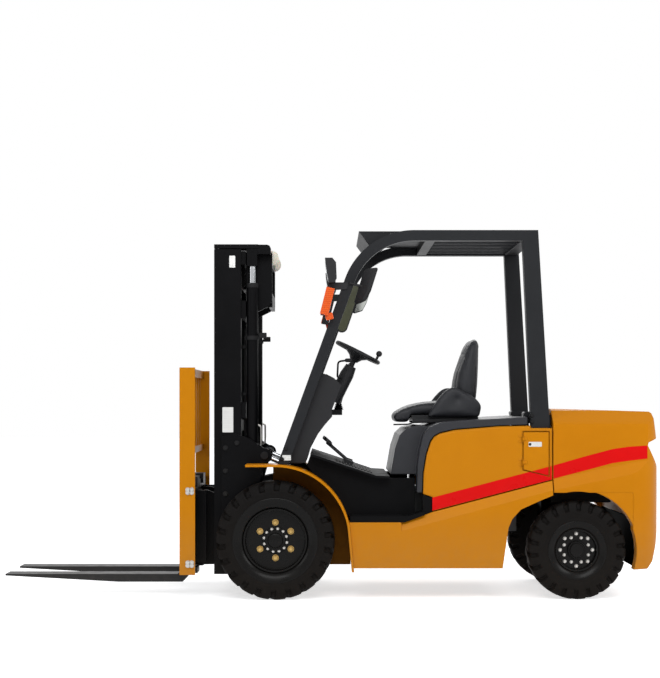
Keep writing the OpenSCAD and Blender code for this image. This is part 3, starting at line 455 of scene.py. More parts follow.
def sweep(path, section, up=(0, 0, 1)):
    """Carries a closed section along a path: point = path + side * s0 + normal * s1, with side = tangent x up."""
    path = np.asarray(path, float)
    tangent = np.gradient(path, axis=0)
    tangent /= np.linalg.norm(tangent, axis=1, keepdims=True)
    out = np.cross(tangent, up)
    out /= np.linalg.norm(out, axis=1, keepdims=True)
    normal = np.cross(out, tangent)
    return capped(path[:, None] + out[:, None] * section[None, :, :1] + normal[:, None] * section[None, :, 1:])


def turned(profile, centre, axis=1, steps=64, outward=1.0):
    """Turns a profile of (radius, height) about an axis: radius spreads as cosine and sine over the other two directions."""
    profile = np.asarray(profile, float)
    a = np.linspace(0, 2 * np.pi, steps, endpoint=False)[:, None]
    grid = np.zeros((steps, len(profile), 3))
    first, second = [k for k in range(3) if k != axis]
    grid[..., first] = profile[:, 0] * np.cos(a)
    grid[..., second] = profile[:, 0] * np.sin(a)
    grid[..., axis] = outward * profile[:, 1]
    return skin(grid + np.asarray(centre, float), wrap_u=True)


def loft(rings):
    """Outlines (x, z) at depths y, joined in order."""
    return capped(np.stack([np.insert(outline, 1, y, axis=1) for outline, y in rings]))


def slab(outline, y0, y1):
    """A plate: one outline of (x, z) carried from y0 to y1."""
    outline = np.asarray(outline, float)
    return loft([(outline, y0), (outline, y1)])


def placed(shell, place, turn=0.0):
    """A shell turned about the upright axis by an angle in degrees, then moved to its place."""
    c, s = math.cos(math.radians(turn)), math.sin(math.radians(turn))
    return shell[0] @ np.array([[c, s, 0], [-s, c, 0], [0, 0, 1]]) + np.asarray(place, float), shell[1]


def leaned(degrees):
    """The matrix that turns points about y: x' = x cos + z sin, z' = z cos - x sin."""
    c, s = math.cos(math.radians(degrees)), math.sin(math.radians(degrees))
    return np.array([[c, 0, s], [0, 1, 0], [-s, 0, c]])


def ring_section(radius, sides=16):
    """A circle of points: radius times (cosine, sine)."""
    a = np.linspace(0, 2 * np.pi, sides, endpoint=False)
    return radius * np.stack([np.cos(a), np.sin(a)], 1)


def slab_section(width, height, corner, steps=4):
    """A rectangle with round corners: four quarter circles, one in each corner, joined in order."""
    q = np.linspace(0, np.pi / 2, steps)
    turn = (q[None] + np.arange(4)[:, None] * np.pi / 2).ravel()
    mid = np.array([[1, 1], [-1, 1], [-1, -1], [1, -1]]) * (width / 2 - corner, height / 2 - corner)
    return np.repeat(mid, steps, 0) + corner * np.stack([np.cos(turn), np.sin(turn)], 1)


def joined(*shells):
    """Several shells as one: points stacked, and each shell's faces counted on from those before it."""
    starts = np.cumsum([0] + [len(points) for points, faces in shells[:-1]])
    faces = [faces + start for (points, faces), start in zip(shells, starts)]
    return np.concatenate([points for points, _ in shells]), np.concatenate(faces)


def repeated(shell, moves, turns=None):
    """A shell copied to every move: point * turn + move, for all moves at once."""
    points, faces = shell
    moves = np.asarray(moves, float)
    many = points[None] if turns is None else np.einsum("mij,nj->mni", turns, points)
    many = np.broadcast_to(many, (len(moves),) + points.shape) + moves[:, None]
    return many.reshape(-1, 3), (faces[None] + len(points) * np.arange(len(moves))[:, None, None]).reshape(-1, 4)


def mirrored(shell):
    """The shell and its twin on the other side of the centre plane: y changes sign and the faces turn round."""
    points, faces = shell
    return joined(shell, (points * (1, -1, 1), faces[:, ::-1]))


made_pieces = []


def piece(name, shell, material, body, bevel_mm=0.0, sharp=38):
    """Puts a shell into a mesh, merges doubled points, turns the faces outwards, gives it a finish and lets it ride on a body."""
    points, faces = shell
    mesh = bpy.data.meshes.new(name)
    mesh.from_pydata(at(points).tolist(), [], faces.tolist())
    work = bmesh.new()
    work.from_mesh(mesh)
    bmesh.ops.remove_doubles(work, verts=work.verts, dist=1e-6)
    bmesh.ops.dissolve_degenerate(work, edges=work.edges, dist=1e-7)
    bmesh.ops.recalc_face_normals(work, faces=work.faces)
    work.to_mesh(mesh)
    work.free()
    mesh.shade_smooth()
    mesh.set_sharp_from_angle(angle=math.radians(sharp))
    mesh.materials.append(material)
    made = bpy.data.objects.new(name, mesh)
    scene.collection.objects.link(made)
    if bevel_mm:
        soft = made.modifiers.new("soft edges", "BEVEL")
        soft.width, soft.segments = bevel_mm / 1000, 2
        soft.limit_method, soft.angle_limit = "ANGLE", math.radians(40)
    if body:
        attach(made, body)
    made_pieces.append(made)
    return made


# %% [markdown]
# ## Tyres
# These are pneumatic tyres with deep shoulder lugs. A real tread is moulded into a smooth carcass.
# So the surface is a carcass profile turned about the axle, pushed inwards along its own normal wherever a groove runs.
# Grooves are where a slanted saw-tooth of the angle falls below a limit, and they fade out on the sidewall and at the middle rib.

# %% Carcass with grooves
def tyre(r, half, seat, lugs, depth, centre, outward):
    """Point = carcass(v) - depth * groove(u, v) * normal(v), with u the angle round the axle and v the way across the section."""
    k = (r - seat) / 165.0
    wall = np.array([(seat + 0.5, 0.72), (seat + 8 * k, 0.80), (seat + 18 * k, 0.845), (seat + 34 * k, 0.92), (seat + 48 * k, 0.945),
                     (seat + 51 * k, 0.972), (seat + 57 * k, 0.972), (seat + 60 * k, 0.955), (seat + 75 * k, 0.985), (seat + 100 * k, 0.99),
                     (r - 42 * k, 0.965), (r - 24 * k, 0.915), (r - 11 * k, 0.84), (r - 4 * k, 0.74), (r - 1.2 * k, 0.60), (r, 0.3), (r, 0.0)])
    wall[:, 1] *= half
    section = np.concatenate([wall, (wall * (1, -1))[-2::-1]])
    run = running(section)
    v = np.linspace(0, run[-1], 89)
    rad, across = np.interp(v, run, section[:, 0]), np.interp(v, run, section[:, 1])
    slope = np.stack([np.gradient(rad), np.gradient(across)], 1)
    normal = np.stack([-slope[:, 1], slope[:, 0]], 1) / np.linalg.norm(slope, axis=1, keepdims=True)
    u = np.linspace(0, 2 * np.pi, lugs * 20, endpoint=False)[:, None]
    side = np.sign(across)[None]
    reach = np.abs(across)[None] / half
    phase = (u * lugs / (2 * np.pi) + 0.5 * (side > 0) + 0.42 * reach) % 1.0
    width = 0.15 + 0.05 * reach
    groove = np.clip((width - np.abs(phase - 0.5)) / 0.05, 0, 1)
    tread = np.clip((rad[None] - (r - 62 * k)) / (14 * k), 0, 1) * np.clip((reach - 0.10) / 0.06, 0, 1)
    cut = depth * groove * tread
    rad2, across2 = rad - cut * normal[:, 0], across - cut * normal[:, 1]
    grid = np.stack([rad2 * np.cos(u), outward * across2, rad2 * np.sin(u)], -1) + np.asarray(centre, float)
    return skin(grid, wrap_u=True)


FRONT_Y, REAR_Y = 500.0, 490.0
wheels = {"front": ((0.0, FRONT_Y, FRONT_Z), 112.5, 190.0, 20.0), "rear": ((REAR, REAR_Y, REAR_Z), 87.5, 127.0, 17.0)}
for end, ((x, y, z), half, seat, depth) in wheels.items():
    for hand, sign in HANDS:
        shell = tyre(z, half, seat, 22, depth, (x, sign * y, z), sign)
        worn = piece(f"lugged_tyre_{end}_{hand}", shell, tyre_rubber, f"wheel_{end}_{hand}", sharp=30)
        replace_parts(worn, f"tyre_{end}_{hand}")
print("tyres", len(made_pieces), "with", len(made_pieces[-1].data.polygons), "faces in the last")

# %% [markdown]
# ## Wheel nuts and hubs
# Six plated nuts hold each front wheel and a ring of small bolts closes its hub. The rear wheels have two rings of bolts.
# Every rim ends in a rolled flange that grips the tyre.
# A nut is a six-sided prism with a coned top on a washer, so one profile with only six steps gives it, and it is copied round the circle.

# %% Nuts and bolts
def hexagon_nut(across, height, stud=0.0):
    """A six-sided turned shape on a round washer: the prism's rows shrink at the top, and a stud of smaller radius stands out of it."""
    r, h, tip = across / math.sqrt(3), height, height + stud
    parts = [turned([(0, 0), (r * 1.12, 0), (r * 1.12, h * 0.18), (0, h * 0.18)], (0, 0, 0), steps=18),
             turned([(0, h * 0.15), (r, h * 0.15), (r, h * 0.85), (r * 0.82, h), (0, h)], (0, 0, 0), steps=6)]
    if stud:
        parts.append(turned([(0, h * 0.8), (r * 0.5, h * 0.8), (r * 0.5, tip - 1.5), (r * 0.42, tip), (0, tip)], (0, 0, 0), steps=12))
    return joined(*parts)


def circle_of(count, radius, x, y, z, start=0.0):
    """Places spread evenly round a circle about the axle."""
    a = start + np.linspace(0, 2 * np.pi, count, endpoint=False)
    return np.stack([x + radius * np.cos(a), np.full(count, y), z + radius * np.sin(a)], 1)


FRONT_FLANGE = [(190, 580), (191, 585), (208, 599), (224, 606.5), (238, 609.4), (246, 611.3), (251, 611.6), (254.5, 609.5),
                (254, 604), (238, 600), (190, 580)]
REAR_FLANGE = [(127.5, 548), (128.5, 553), (140, 563), (152, 569.5), (162, 573.5), (168, 575.6), (172, 575.8), (175, 574),
               (174, 568), (160, 564), (127.5, 548)]
FRONT_DISC, REAR_DISC = FRONT_Y + 44.2, REAR_Y + 38.2
for hand, sign in HANDS:
    flip = np.diag([1.0, sign, 1.0])[None]
    front, rear, y = f"wheel_front_{hand}", f"wheel_rear_{hand}", sign * FRONT_DISC
    hub = turned([(58, 0), (80, 0), (80, 5), (77, 8), (61, 8)], (0, y, FRONT_Z), outward=sign, steps=72)
    cap = turned([(0, 26.2), (46, 26.2), (46, 30), (42, 38), (30, 42), (0, 43)], (0, y, FRONT_Z), outward=sign, steps=56)
    piece(f"front_hub_{hand}", joined(hub, cap), wheel_enamel, front, bevel_mm=1.0)
    nuts = repeated(hexagon_nut(30, 20, stud=12), circle_of(6, 106, 0, y, FRONT_Z, 0.52), np.repeat(flip, 6, 0))
    piece(f"front_nuts_{hand}", nuts, yellow_chromate, front, sharp=25)
    bolts = repeated(hexagon_nut(13, 8), circle_of(12, 69, 0, y + sign * 8, FRONT_Z, 0.2), np.repeat(flip, 12, 0))
    piece(f"front_hub_bolts_{hand}", bolts, zinc_plate, front, sharp=25)
    piece(f"front_flange_{hand}", turned(FRONT_FLANGE, (0, 0, FRONT_Z), outward=sign, steps=96), wheel_enamel, front, sharp=50)
    piece(f"rear_flange_{hand}", turned(REAR_FLANGE, (REAR, 0, REAR_Z), outward=sign, steps=96), wheel_enamel, rear, sharp=50)
    y = sign * REAR_DISC
    cap = turned([(0, 26.2), (44, 26.2), (44, 32), (40, 38), (0, 40)], (REAR, y, REAR_Z), outward=sign, steps=56)
    piece(f"rear_hub_{hand}", cap, wheel_enamel, rear, bevel_mm=1.0)
    outer = repeated(hexagon_nut(17, 13), circle_of(8, 97, REAR, y, REAR_Z), np.repeat(flip, 8, 0))
    inner = repeated(hexagon_nut(15, 11), circle_of(8, 78, REAR, y, REAR_Z, np.pi / 8), np.repeat(flip, 8, 0))
    piece(f"rear_bolts_{hand}", joined(outer, inner), zinc_plate, rear, sharp=25)
print("hubs and wheel bolts done")

# %% [markdown]
# ## The red stripe
# On the truck the stripe is vinyl film. Laid as a picture it would need an image, so it is a very thin slab that lies on the panels.
# Its upper and lower edges are lines read from the side of the truck, and the film stops at every gap, so the flap carries its own corner of it.

# %% Film from two edges
def film(x, upper, lower, side=1):
    """A thin slab on a panel between two heights over x: each station is a ring of four points, at the panel's face and 0.9 mm off it."""
    inside, outside = side * (PANEL_HALF - 0.2), side * (PANEL_HALF + 0.9)
    corners = [(upper, inside), (upper, outside), (lower, outside), (lower, inside)]
    return capped(np.stack([np.stack([x, np.full(len(x), y), z], 1) for z, y in corners], 1))


def stripe_top(x):
    """Height of the stripe's upper edge on the side panel, a straight line that climbs to the rear."""
    return 610 + 0.2648 * (-940 - x)


def stripe_low(x):
    """Height of its lower edge, another straight line."""
    return 531.5 + 0.2611 * (-940 - x)


x = np.array([-937.0, -1476.0, -1518.6, -1638.4, -1639.4, -1651.0])
gap = np.where((x < -1519) & (x > -1639), 732.6 + 0.2533 * (x + 1638), 2000.0)
left = film(x, np.minimum(stripe_top(x), gap), stripe_low(x))
x = x[[0, -1]]
piece("panel_stripe", joined(left, film(x, stripe_top(x), stripe_low(x), -1)), red_film, "chassis")
x = np.array([-1531.0, -1631.6])
flap_low = 740.6 + 0.2533 * (x + 1632)
piece("flap_stripe", film(x, np.maximum(stripe_top(x), flap_low + 0.4), flap_low), red_film, "flap")
x = np.array([-1661.0, -1750.0, -1841.0, -1930.0, -2014.0, -2110.0, -2180.0, -2222.0])
tail = [np.interp(-x, [1661, 1841, 2014, 2110, 2222], z) for z in ([801, 853, 899, 913, 920], [722, 769, 815, 829, 842])]
piece("counterweight_stripe", mirrored(film(x, *tail)), red_film, "chassis")
print("stripe in 3 films")

# %% [markdown]
# ## Leaf chains
# A lift chain is a stack of thin plates on pins. One plate is an obround section carried a few millimetres, and whole runs are copies of it.
# The front run is a straight run of plates that rides on the inner mast.
# The rear run is a plain strip from its anchor up to the pulley, on no body.

# %% Links
def obround(length, height, steps=6):
    """A plate outline: two half circles of the plate's height, joined by straight edges."""
    a = np.linspace(-np.pi / 2, np.pi / 2, steps)
    right_end = np.stack([np.cos(a), np.sin(a)], 1) * height / 2 + ((length - height) / 2, 0)
    return np.concatenate([right_end, -right_end])


PITCH = 19.05
plate = sweep([(0, -1.5, 0), (0, 1.5, 0)], obround(PITCH + 11.5, 12.0)[:, ::-1])
even = repeated(plate, [(0, y, 0) for y in (112, 119.4, 126.8, 134.2, 138.4)])
odd = repeated(plate, [(0, y, 0) for y in (115.7, 123.1, 130.5)])
pin = sweep([(0, 110.2, 0), (0, 139.8, 0)], ring_section(2.8, 8))
pin = (pin[0] + (0, 0, PITCH / 2), pin[1])


def chain_run(x, low, high):
    """Plates of a straight run: every second pitch carries the outer set, the others the inner set, and a pin sits between them."""
    z = np.arange(low + PITCH / 2, high, PITCH)
    spots = np.stack([np.full(len(z), x), np.zeros(len(z)), z], 1)
    return joined(repeated(even, spots[::2]), repeated(odd, spots[1::2]), repeated(pin, spots))


SHEAVE = np.array([234.0, 0.0, 2070.0])
WRAP, CHAIN_Y = 62.3, 125
FRONT_RUN, REAR_RUN = SHEAVE[0] + WRAP, SHEAVE[0] - WRAP
RUN_LOW, LIFT, TIED = 436, 1500, 1757
front_run = piece("chain_front_run", mirrored(chain_run(FRONT_RUN, RUN_LOW, SHEAVE[2] - 4)), greased_chain, "inner_mast", sharp=50)
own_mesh(front_run)
strips = sweep([(REAR_RUN, CHAIN_Y, z) for z in np.linspace(TIED, SHEAVE[2], 28)], slab_section(29, 12, 2), up=(1, 0, 0))
rear_run = piece("chain_rear_run", mirrored(strips), greased_chain, None)
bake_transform(rear_run)
angle = np.linspace(0, np.pi, 11)
c, s, o = np.cos(angle), np.sin(angle), 0 * angle
spots = SHEAVE + WRAP * np.stack([c, o, s], 1)
turns = np.stack([np.stack([c, o, -s], 1), np.stack([o, o + 1, o], 1), np.stack([s, o, c], 1)], 1)
over = joined(repeated(even, spots[::2], turns[::2]), repeated(odd, spots[1::2], turns[1::2]))
wrap = piece("chain_over_pulley", mirrored(over), greased_chain, "inner_mast", sharp=50)
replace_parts(wrap, "lift_chains")
flanges = [turned([(13, y), (60, y), (60, y + step), (13, y + step)], SHEAVE, steps=48) for y, step in ((110, -3.4), (140, 3.4))]
piece("pulley_flanges", mirrored(joined(*flanges)), turned_steel, "inner_mast")
anchor = [turned([(0, low), (r, low), (r, high), (0, high)], (FRONT_RUN, CHAIN_Y, 0), axis=2, steps=sides)
          for r, low, high, sides in ((9, 392, 432, 16), (15, 388, 400, 6))]
piece("chain_anchors", mirrored(joined(*anchor)), zinc_plate, "carriage", sharp=25)
print("chains", sum(len(p.data.polygons) for p in made_pieces if p.name.startswith("chain")), "faces")

# %% [markdown]
# ## The seat
# The seat is foam under embossed vinyl. Its cushion and back are stuffed pads, held down along sewn seams.
# Each starts as a slightly slim closed form, is remeshed to even squares, and is then blown up as cloth with its seams and its hard side pinned.
# A cap on the swelling keeps the pad inside the space that its solid holds.

# %% Pads before stuffing
def pad_form(stations, half, corner, seam, dip):
    """A closed pad: at each station along the spine a ring of points runs round a rounded rectangle between a hard and a soft side.
    The soft side is lowered by dip where |y| is near the seam, as a Gaussian 9 mm wide."""
    hard, soft = np.asarray(stations, float)[:, 0:2], np.asarray(stations, float)[:, 2:4]
    width = np.asarray(stations, float)[:, 4:5] * half
    a = np.linspace(0, 2 * np.pi, 96, endpoint=False)[None]
    sy = np.sign(np.cos(a)) * np.abs(np.cos(a)) ** corner
    st = np.sign(np.sin(a)) * np.abs(np.sin(a)) ** corner
    y = width * sy
    share = 0.5 + 0.5 * st - dip * np.exp(-((np.abs(y) - seam) / 9) ** 2) * (st > 0.2)
    flat = hard[:, None] + (soft - hard)[:, None] * share[..., None]
    return capped(np.stack([flat[..., 0], y, flat[..., 1]], -1))


def stuffed(pad, held, cap_mm):
    """Blows a pad up as cloth: pressure on every face, the held points pinned, and each point's travel cut to cap_mm."""
    mesh = pad.data
    count = len(mesh.vertices)
    rest = np.empty(count * 3)
    mesh.vertices.foreach_get("co", rest)
    rest = rest.reshape(-1, 3)
    group = pad.vertex_groups.new(name="sewn")
    group.add(np.flatnonzero(held(rest)).tolist(), 1.0, "ADD")
    cloth = pad.modifiers.new("stuffing", "CLOTH")
    cloth.settings.vertex_group_mass = "sewn"
    cloth.settings.use_pressure = True
    cloth.settings.uniform_pressure_force = 4.0
    cloth.settings.quality = 6
    cloth.settings.tension_stiffness = cloth.settings.compression_stiffness = 12.0
    cloth.settings.bending_stiffness = 0.6
    cloth.settings.effector_weights.gravity = 0.0
    cloth.point_cache.frame_start, cloth.point_cache.frame_end = 1, 20
    for step in range(1, 21):
        scene.frame_set(step)
    blown = pad.evaluated_get(bpy.context.evaluated_depsgraph_get()).to_mesh()
    now = np.empty(count * 3)
    blown.vertices.foreach_get("co", now)
    move = now.reshape(-1, 3) - rest
    reach = np.linalg.norm(move, axis=1, keepdims=True)
    move *= np.minimum(1.0, cap_mm / 1000 / np.maximum(reach, 1e-9))
    pad.modifiers.remove(cloth)
    mesh.vertices.foreach_set("co", (rest + move).ravel())
    mesh.update()
    scene.frame_set(1)
    return float(np.linalg.norm(move, axis=1).max())


def even_squares(pad, size_mm):
    """Remeshes a pad into squares of one size and keeps the result as its mesh."""
    grid = pad.modifiers.new("even squares", "REMESH")
    grid.mode, grid.voxel_size = "VOXEL", size_mm / 1000
    mesh = bpy.data.meshes.new_from_object(pad.evaluated_get(bpy.context.evaluated_depsgraph_get()))
    pad.modifiers.clear()
    pad.data = mesh
    mesh.shade_smooth()


# stations: hard x, hard z, soft x, soft z, width
cushion_line = [(-722, 1074, -721, 1096, 0.88), (-726, 1063, -727, 1110, 0.95), (-738, 1056, -740, 1122, 0.985), (-765, 1054, -764, 1137, 1.0),
                (-795, 1054, -792, 1149, 1.0), (-815, 1060, -815, 1156, 1.0), (-826, 1094, -826, 1160, 1.0), (-850, 1098, -850, 1166, 1.0),
                (-905, 1098, -905, 1178, 1.0), (-1000, 1098, -1000, 1182, 1.0), (-1060, 1098, -1060, 1180, 0.99),
                (-1096, 1098, -1092, 1172, 0.96), (-1102, 1102, -1098, 1162, 0.90)]
back_line = [(-1234, 1186, -1106, 1184, 0.88), (-1238, 1196, -1103, 1193, 0.95), (-1243, 1240, -1102, 1240, 0.99), (-1248, 1300, -1105, 1298, 1.0),
             (-1251, 1370, -1118, 1366, 0.99),
             (-1253, 1440, -1143, 1430, 0.96), (-1254, 1500, -1165, 1490, 0.92), (-1254, 1540, -1186, 1530, 0.86),
             (-1251, 1562, -1204, 1555, 0.75), (-1243, 1576, -1222, 1571, 0.56)]


def finer(line, count):
    """More stations along a spine: each column is interpolated along the running length of the hard and soft sides together."""
    line = np.asarray(line, float)
    run = running(line[:, :2]) + running(line[:, 2:4])
    t = np.linspace(0, run[-1], count)
    return np.stack([np.interp(t, run, column) for column in line.T], 1)


BELT = (-1112, 1196)


def cheek(outline, centre, inside, edge, rise):
    """A side bolster: rings shrink from the outline to its centre by rho, and y = edge + rise * sqrt(1 - rho^6),
    less a Gaussian hollow 24 mm wide where the belt is fixed."""
    rho = np.concatenate([[0.0], [1.0], [1.0], np.cos(np.linspace(0.12, np.pi / 2, 18))])
    flat = centre + (outline - centre)[None] * rho[:, None, None]
    hollow = 11 * np.exp(-np.sum((flat - BELT) ** 2, -1) / 24 ** 2)
    y = edge + rise * np.sqrt(np.clip(1 - rho ** 6, 0, 1))[:, None] - hollow
    y[:2] = inside
    return skin(np.stack([flat[..., 0], y, flat[..., 1]], -1), wrap_v=True)


cheek_line = np.array([(-930, 1092), (-940, 1110), (-956, 1140), (-1000, 1204), (-1034, 1240), (-1062, 1259), (-1088, 1265),
                       (-1114, 1259), (-1142, 1240), (-1187, 1223), (-1232, 1189), (-1255, 1156), (-1242, 1092), (-930, 1092)], float)
run = running(cheek_line)
cheek_line = np.stack([np.interp(np.linspace(0, run[-1], 121)[:-1], run, c) for c in cheek_line.T], 1)
cheek_line = np.mean([np.roll(cheek_line, k, 0) for k in (-2, -1, 0, 1, 2)], 0)
middle = np.array([-1092.0, 1156.0])
cheek_line = middle + (cheek_line - middle) * (1.03, 1.06)

# %% Stuffing
cushion = piece("seat_cushion_pad", pad_form(finer(cushion_line, 48), 214, 0.42, 128, 0.16), seat_vinyl, None)
back = piece("seat_back_pad", pad_form(finer(back_line, 56), 214, 0.50, 126, 0.12), seat_vinyl, None)
cheeks = piece("hip_bolsters", mirrored(cheek(cheek_line, middle, 222.6, 248.0, 22.0)), seat_vinyl, None)


def on_seam(p, seam):
    """True within 6 mm of a seam that runs at a distance from the centre plane, in metres."""
    return np.abs(np.abs(p[:, 1]) - seam) < 0.006


def pan_held(p):
    """The cushion's underside, which is lower in front of the pan, and its seams."""
    return (p[:, 2] < np.where(p[:, 0] < axle_x - 0.823, 1.1025, 1.060)) | on_seam(p, 0.128)


def shell_held(p):
    """The back's rear face below the headrest, and its seams."""
    behind = p[:, 0] < axle_x - 1.232 - 0.055 * (p[:, 2] - 1.186)
    return on_seam(p, 0.126) & (p[:, 2] < 1.48) | behind & (p[:, 2] < 1.52)


def belt_held(p):
    """The bolsters' inner face, and the hollow where the belt is fixed."""
    return (np.abs(p[:, 1]) < 0.236) | (np.hypot(p[:, 0] - axle_x + 1.112, p[:, 2] - 1.196) < 0.012)


sewn = {cushion: (pan_held, 8.0), back: (shell_held, 8.0), cheeks: (belt_held, 5.0)}
for pad, (held, cap_mm) in sewn.items():
    even_squares(pad, 6)
    swell = stuffed(pad, held, cap_mm)
    print(pad.name, "swells", round(swell * 1000, 1), "mm over", len(pad.data.vertices), "points")
    fine = pad.modifiers.new("smooth vinyl", "SUBSURF")
    fine.levels = fine.render_levels = 1
    pad.data.materials.clear()
    pad.data.materials.append(seat_vinyl)
    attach(pad, "hood")
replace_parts(cushion, "seat_cushion")
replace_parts(back, "seat_back")

# The seat's carrier: two runners, the pan under the foam and a thin back shell that follows the pad.
runner_line = [(-1180, 1074), (-1100, 1072), (-985, 1066), (-930, 1062), (-838, 1060)]
runner = sweep([(x, 207.5, z) for x, z in runner_line], slab_section(35, 24, 3))
pan = slab([(-842, 1058), (-828, 1099), (-1240, 1099), (-1246, 1070)], -216, 216)
shell_line = [(-1212, 0, 1092), (-1222, 0, 1190), (-1226, 0, 1300), (-1228, 0, 1400)]
back_shell = sweep(shell_line, slab_section(400, 9, 3), up=(-1, 0, 0))
carrier = piece("seat_carrier", joined(mirrored(runner), pan, back_shell), moulded_abs, "hood", bevel_mm=1.5)
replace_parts(carrier, "seat_base")
print("seat done,", len(made_pieces), "pieces so far")

# %% [markdown]
# ## Bolts, pins and plates
# Bolts show where panels are held. One hexagon head is turned once and copied, with a rotation that lays it on its face.
# Plates that carry words on the real truck stay blank, with the same finish and place.

# %% Bolt heads
LAY = {"+y": np.eye(3), "+z": np.array([[1.0, 0, 0], [0, 0, -1], [0, 1, 0]])}


def heads(across, height, spots, face):
    """Hexagon heads on a face: the head is turned about y, then laid along the face's direction at each spot."""
    spots = np.asarray(spots, float)
    return repeated(hexagon_nut(across, height), spots, np.repeat(LAY[face][None], len(spots), 0))


def plate_on(x, y, z, thick=1.2, corner=4.0):
    """A blank plate on a side face: a rounded rectangle of x and z carried from y outwards by its thickness."""
    section = slab_section(abs(x[1] - x[0]), abs(z[1] - z[0]), corner)
    middle = np.array([np.mean(x), 0, np.mean(z)])
    return sweep([middle + (0, y, 0), middle + (0, y + thick, 0)], section)


backrest_bolts = heads(22, 14, [(x, 565.1, z) for x in (498, 522) for z in (205, 222, 640, 657)], "+y")
piece("backrest_bolts", mirrored(backrest_bolts), zinc_plate, "carriage", sharp=25)
bolt_y = GUARD_OUT + 0.2
guard_bolts = joined(heads(20, 12, [(-1535, bolt_y, z) for z in (1062, 1100)], "+y"),
                     heads(18, 11, [(-40, bolt_y, 838), (-62, bolt_y, 898)], "+y"))
piece("guard_bolts", mirrored(guard_bolts), chassis_black, "chassis", sharp=25)
roof_rows = {-930: (-400, -200, 200, 400), -1520: (-400, -200, 0, 200, 400)}
roof_bolts = heads(16, 8, [(x, y, 2202.2) for x, row in roof_rows.items() for y in row], "+z")
piece("roof_bolts", roof_bolts, chassis_black, "chassis", sharp=25)
bracket_spots = [(310, 900), (310, 760), (310, 620), (310, 480), (310, 340), (240, 300), (240, 930)]
bracket_bolts = heads(26, 16, [(x, BRACKET_OUT, z) for x, z in bracket_spots], "+y")
piece("tilt_bracket_bolts", mirrored(bracket_bolts), chassis_black, "outer_mast", sharp=25)
pin_caps = turned([(0, 371.8), (26, 371.8), (26, 380), (22, 384), (0, 384)], (72, 0, 853), steps=32)
piece("tilt_pin_caps", mirrored(pin_caps), chassis_black, "outer_mast", bevel_mm=1.0)
plates = {
    "mast_plate_low": ((264, 330), MAST_HALF, (995, 1148), "outer_mast"),
    "mast_plate_high": ((252, 288), MAST_HALF, (2000, 2072), "outer_mast"),
    "pillar_plate": ((-92, -40), GUARD_OUT, (830, 862), "chassis"),
    "flap_plate": ((-1591, -1512), PANEL_HALF, (913, 942), "flap"),
}
for name, (x, y, z, body) in plates.items():
    piece(name, plate_on(x, y, z), brushed_plate, body)
lock = turned([(0, 550.8), (8, 550.8), (8, 553), (6, 554), (2.5, 552.2), (0, 552)], (-1521, 0, 927), steps=24)
piece("flap_lock", lock, chassis_black, "flap", sharp=25)
visor_tip, roof_half = -500.0, 454.6
cheek_edge = [(visor_tip - 2, GUARD_TOP - 1), (visor_tip - 80, GUARD_TOP - 94), (visor_tip - 200, GUARD_TOP - 6)]
cheek_plate = slab(cheek_edge, roof_half - 8, roof_half)
piece("visor_cheeks", mirrored(cheek_plate), charcoal_powder, "chassis", bevel_mm=2)
print("bolts and blank plates done,", len(made_pieces), "pieces so far")

# %% [markdown]
# ## Wheel arches
# The rear arch is an arc about the axle, struck a little outside the wheel.
# The solid has a square corner there, so a piece of the casting fills it out to the arc.
# Every ray from the axle meets the arc and then the square's edge, so the piece is a strip of rings along the angle.
# Inner walls close the view through both arches.

# %% Corners and inner walls
def arch_corner(radius, rise, reach, inside):
    """Rings along the angle t: from radius out to min(rise / sin t, reach / |cos t|), between y = inside and the casting's outer face,
    which is 585 and turns in along a circle of 190 behind x = -2115."""
    first = math.atan2(rise, -math.sqrt(radius ** 2 - rise ** 2))
    last = math.atan2(math.sqrt(radius ** 2 - reach ** 2), -reach)
    t = np.linspace(first, last, 40)
    far = np.minimum(rise / np.sin(t), reach / np.abs(np.cos(t)))
    edges = [np.stack([REAR + r * np.cos(t), REAR_Z + r * np.sin(t)], 1) for r in (np.full_like(t, radius), far)]
    face = [394.7 + np.sqrt(190 ** 2 - np.maximum(0, -2115 - e[:, 0]) ** 2) for e in edges]
    depth = [np.full_like(t, inside), face[0], face[1], np.full_like(t, inside)]
    corners = zip((edges[0], edges[0], edges[1], edges[1]), depth)
    return capped(np.stack([np.insert(e, 1, y, axis=1) for e, y in corners], 1))


piece("arch_corners", mirrored(arch_corner(362.0, 346.0, 331.0, 501.0)), yellow_casting, "chassis", sharp=40)
rear_wall = slab([(-1690, 560), (-1690, 676), (-2060, 676), (-2060, 560)], 222, 228)
piece("rear_arch_walls", mirrored(rear_wall), chassis_black, "chassis", bevel_mm=1)
wall_edges = ([(20, 482), (20, 796), (-150, 790), (-305, 700), (-305, 482)], [(-304, 192), (-304, 702), (-440, 560), (-452, 192)])
front_wall = joined(*[slab(edge, 374.2, 378.2) for edge in wall_edges])
# The front inner walls are painted dark brown as shade.
piece("front_arch_walls", mirrored(front_wall), shaded_enamel, "chassis", bevel_mm=1)
print("rear arches rounded, 4 inner walls")

# %% [markdown]
# ## Lamps
# The lamp bodies are solids. The lenses are thin crowned shells in front of them.
# A crowned lens is a grid whose height falls off towards its edge as one minus the fourth power of the distance.

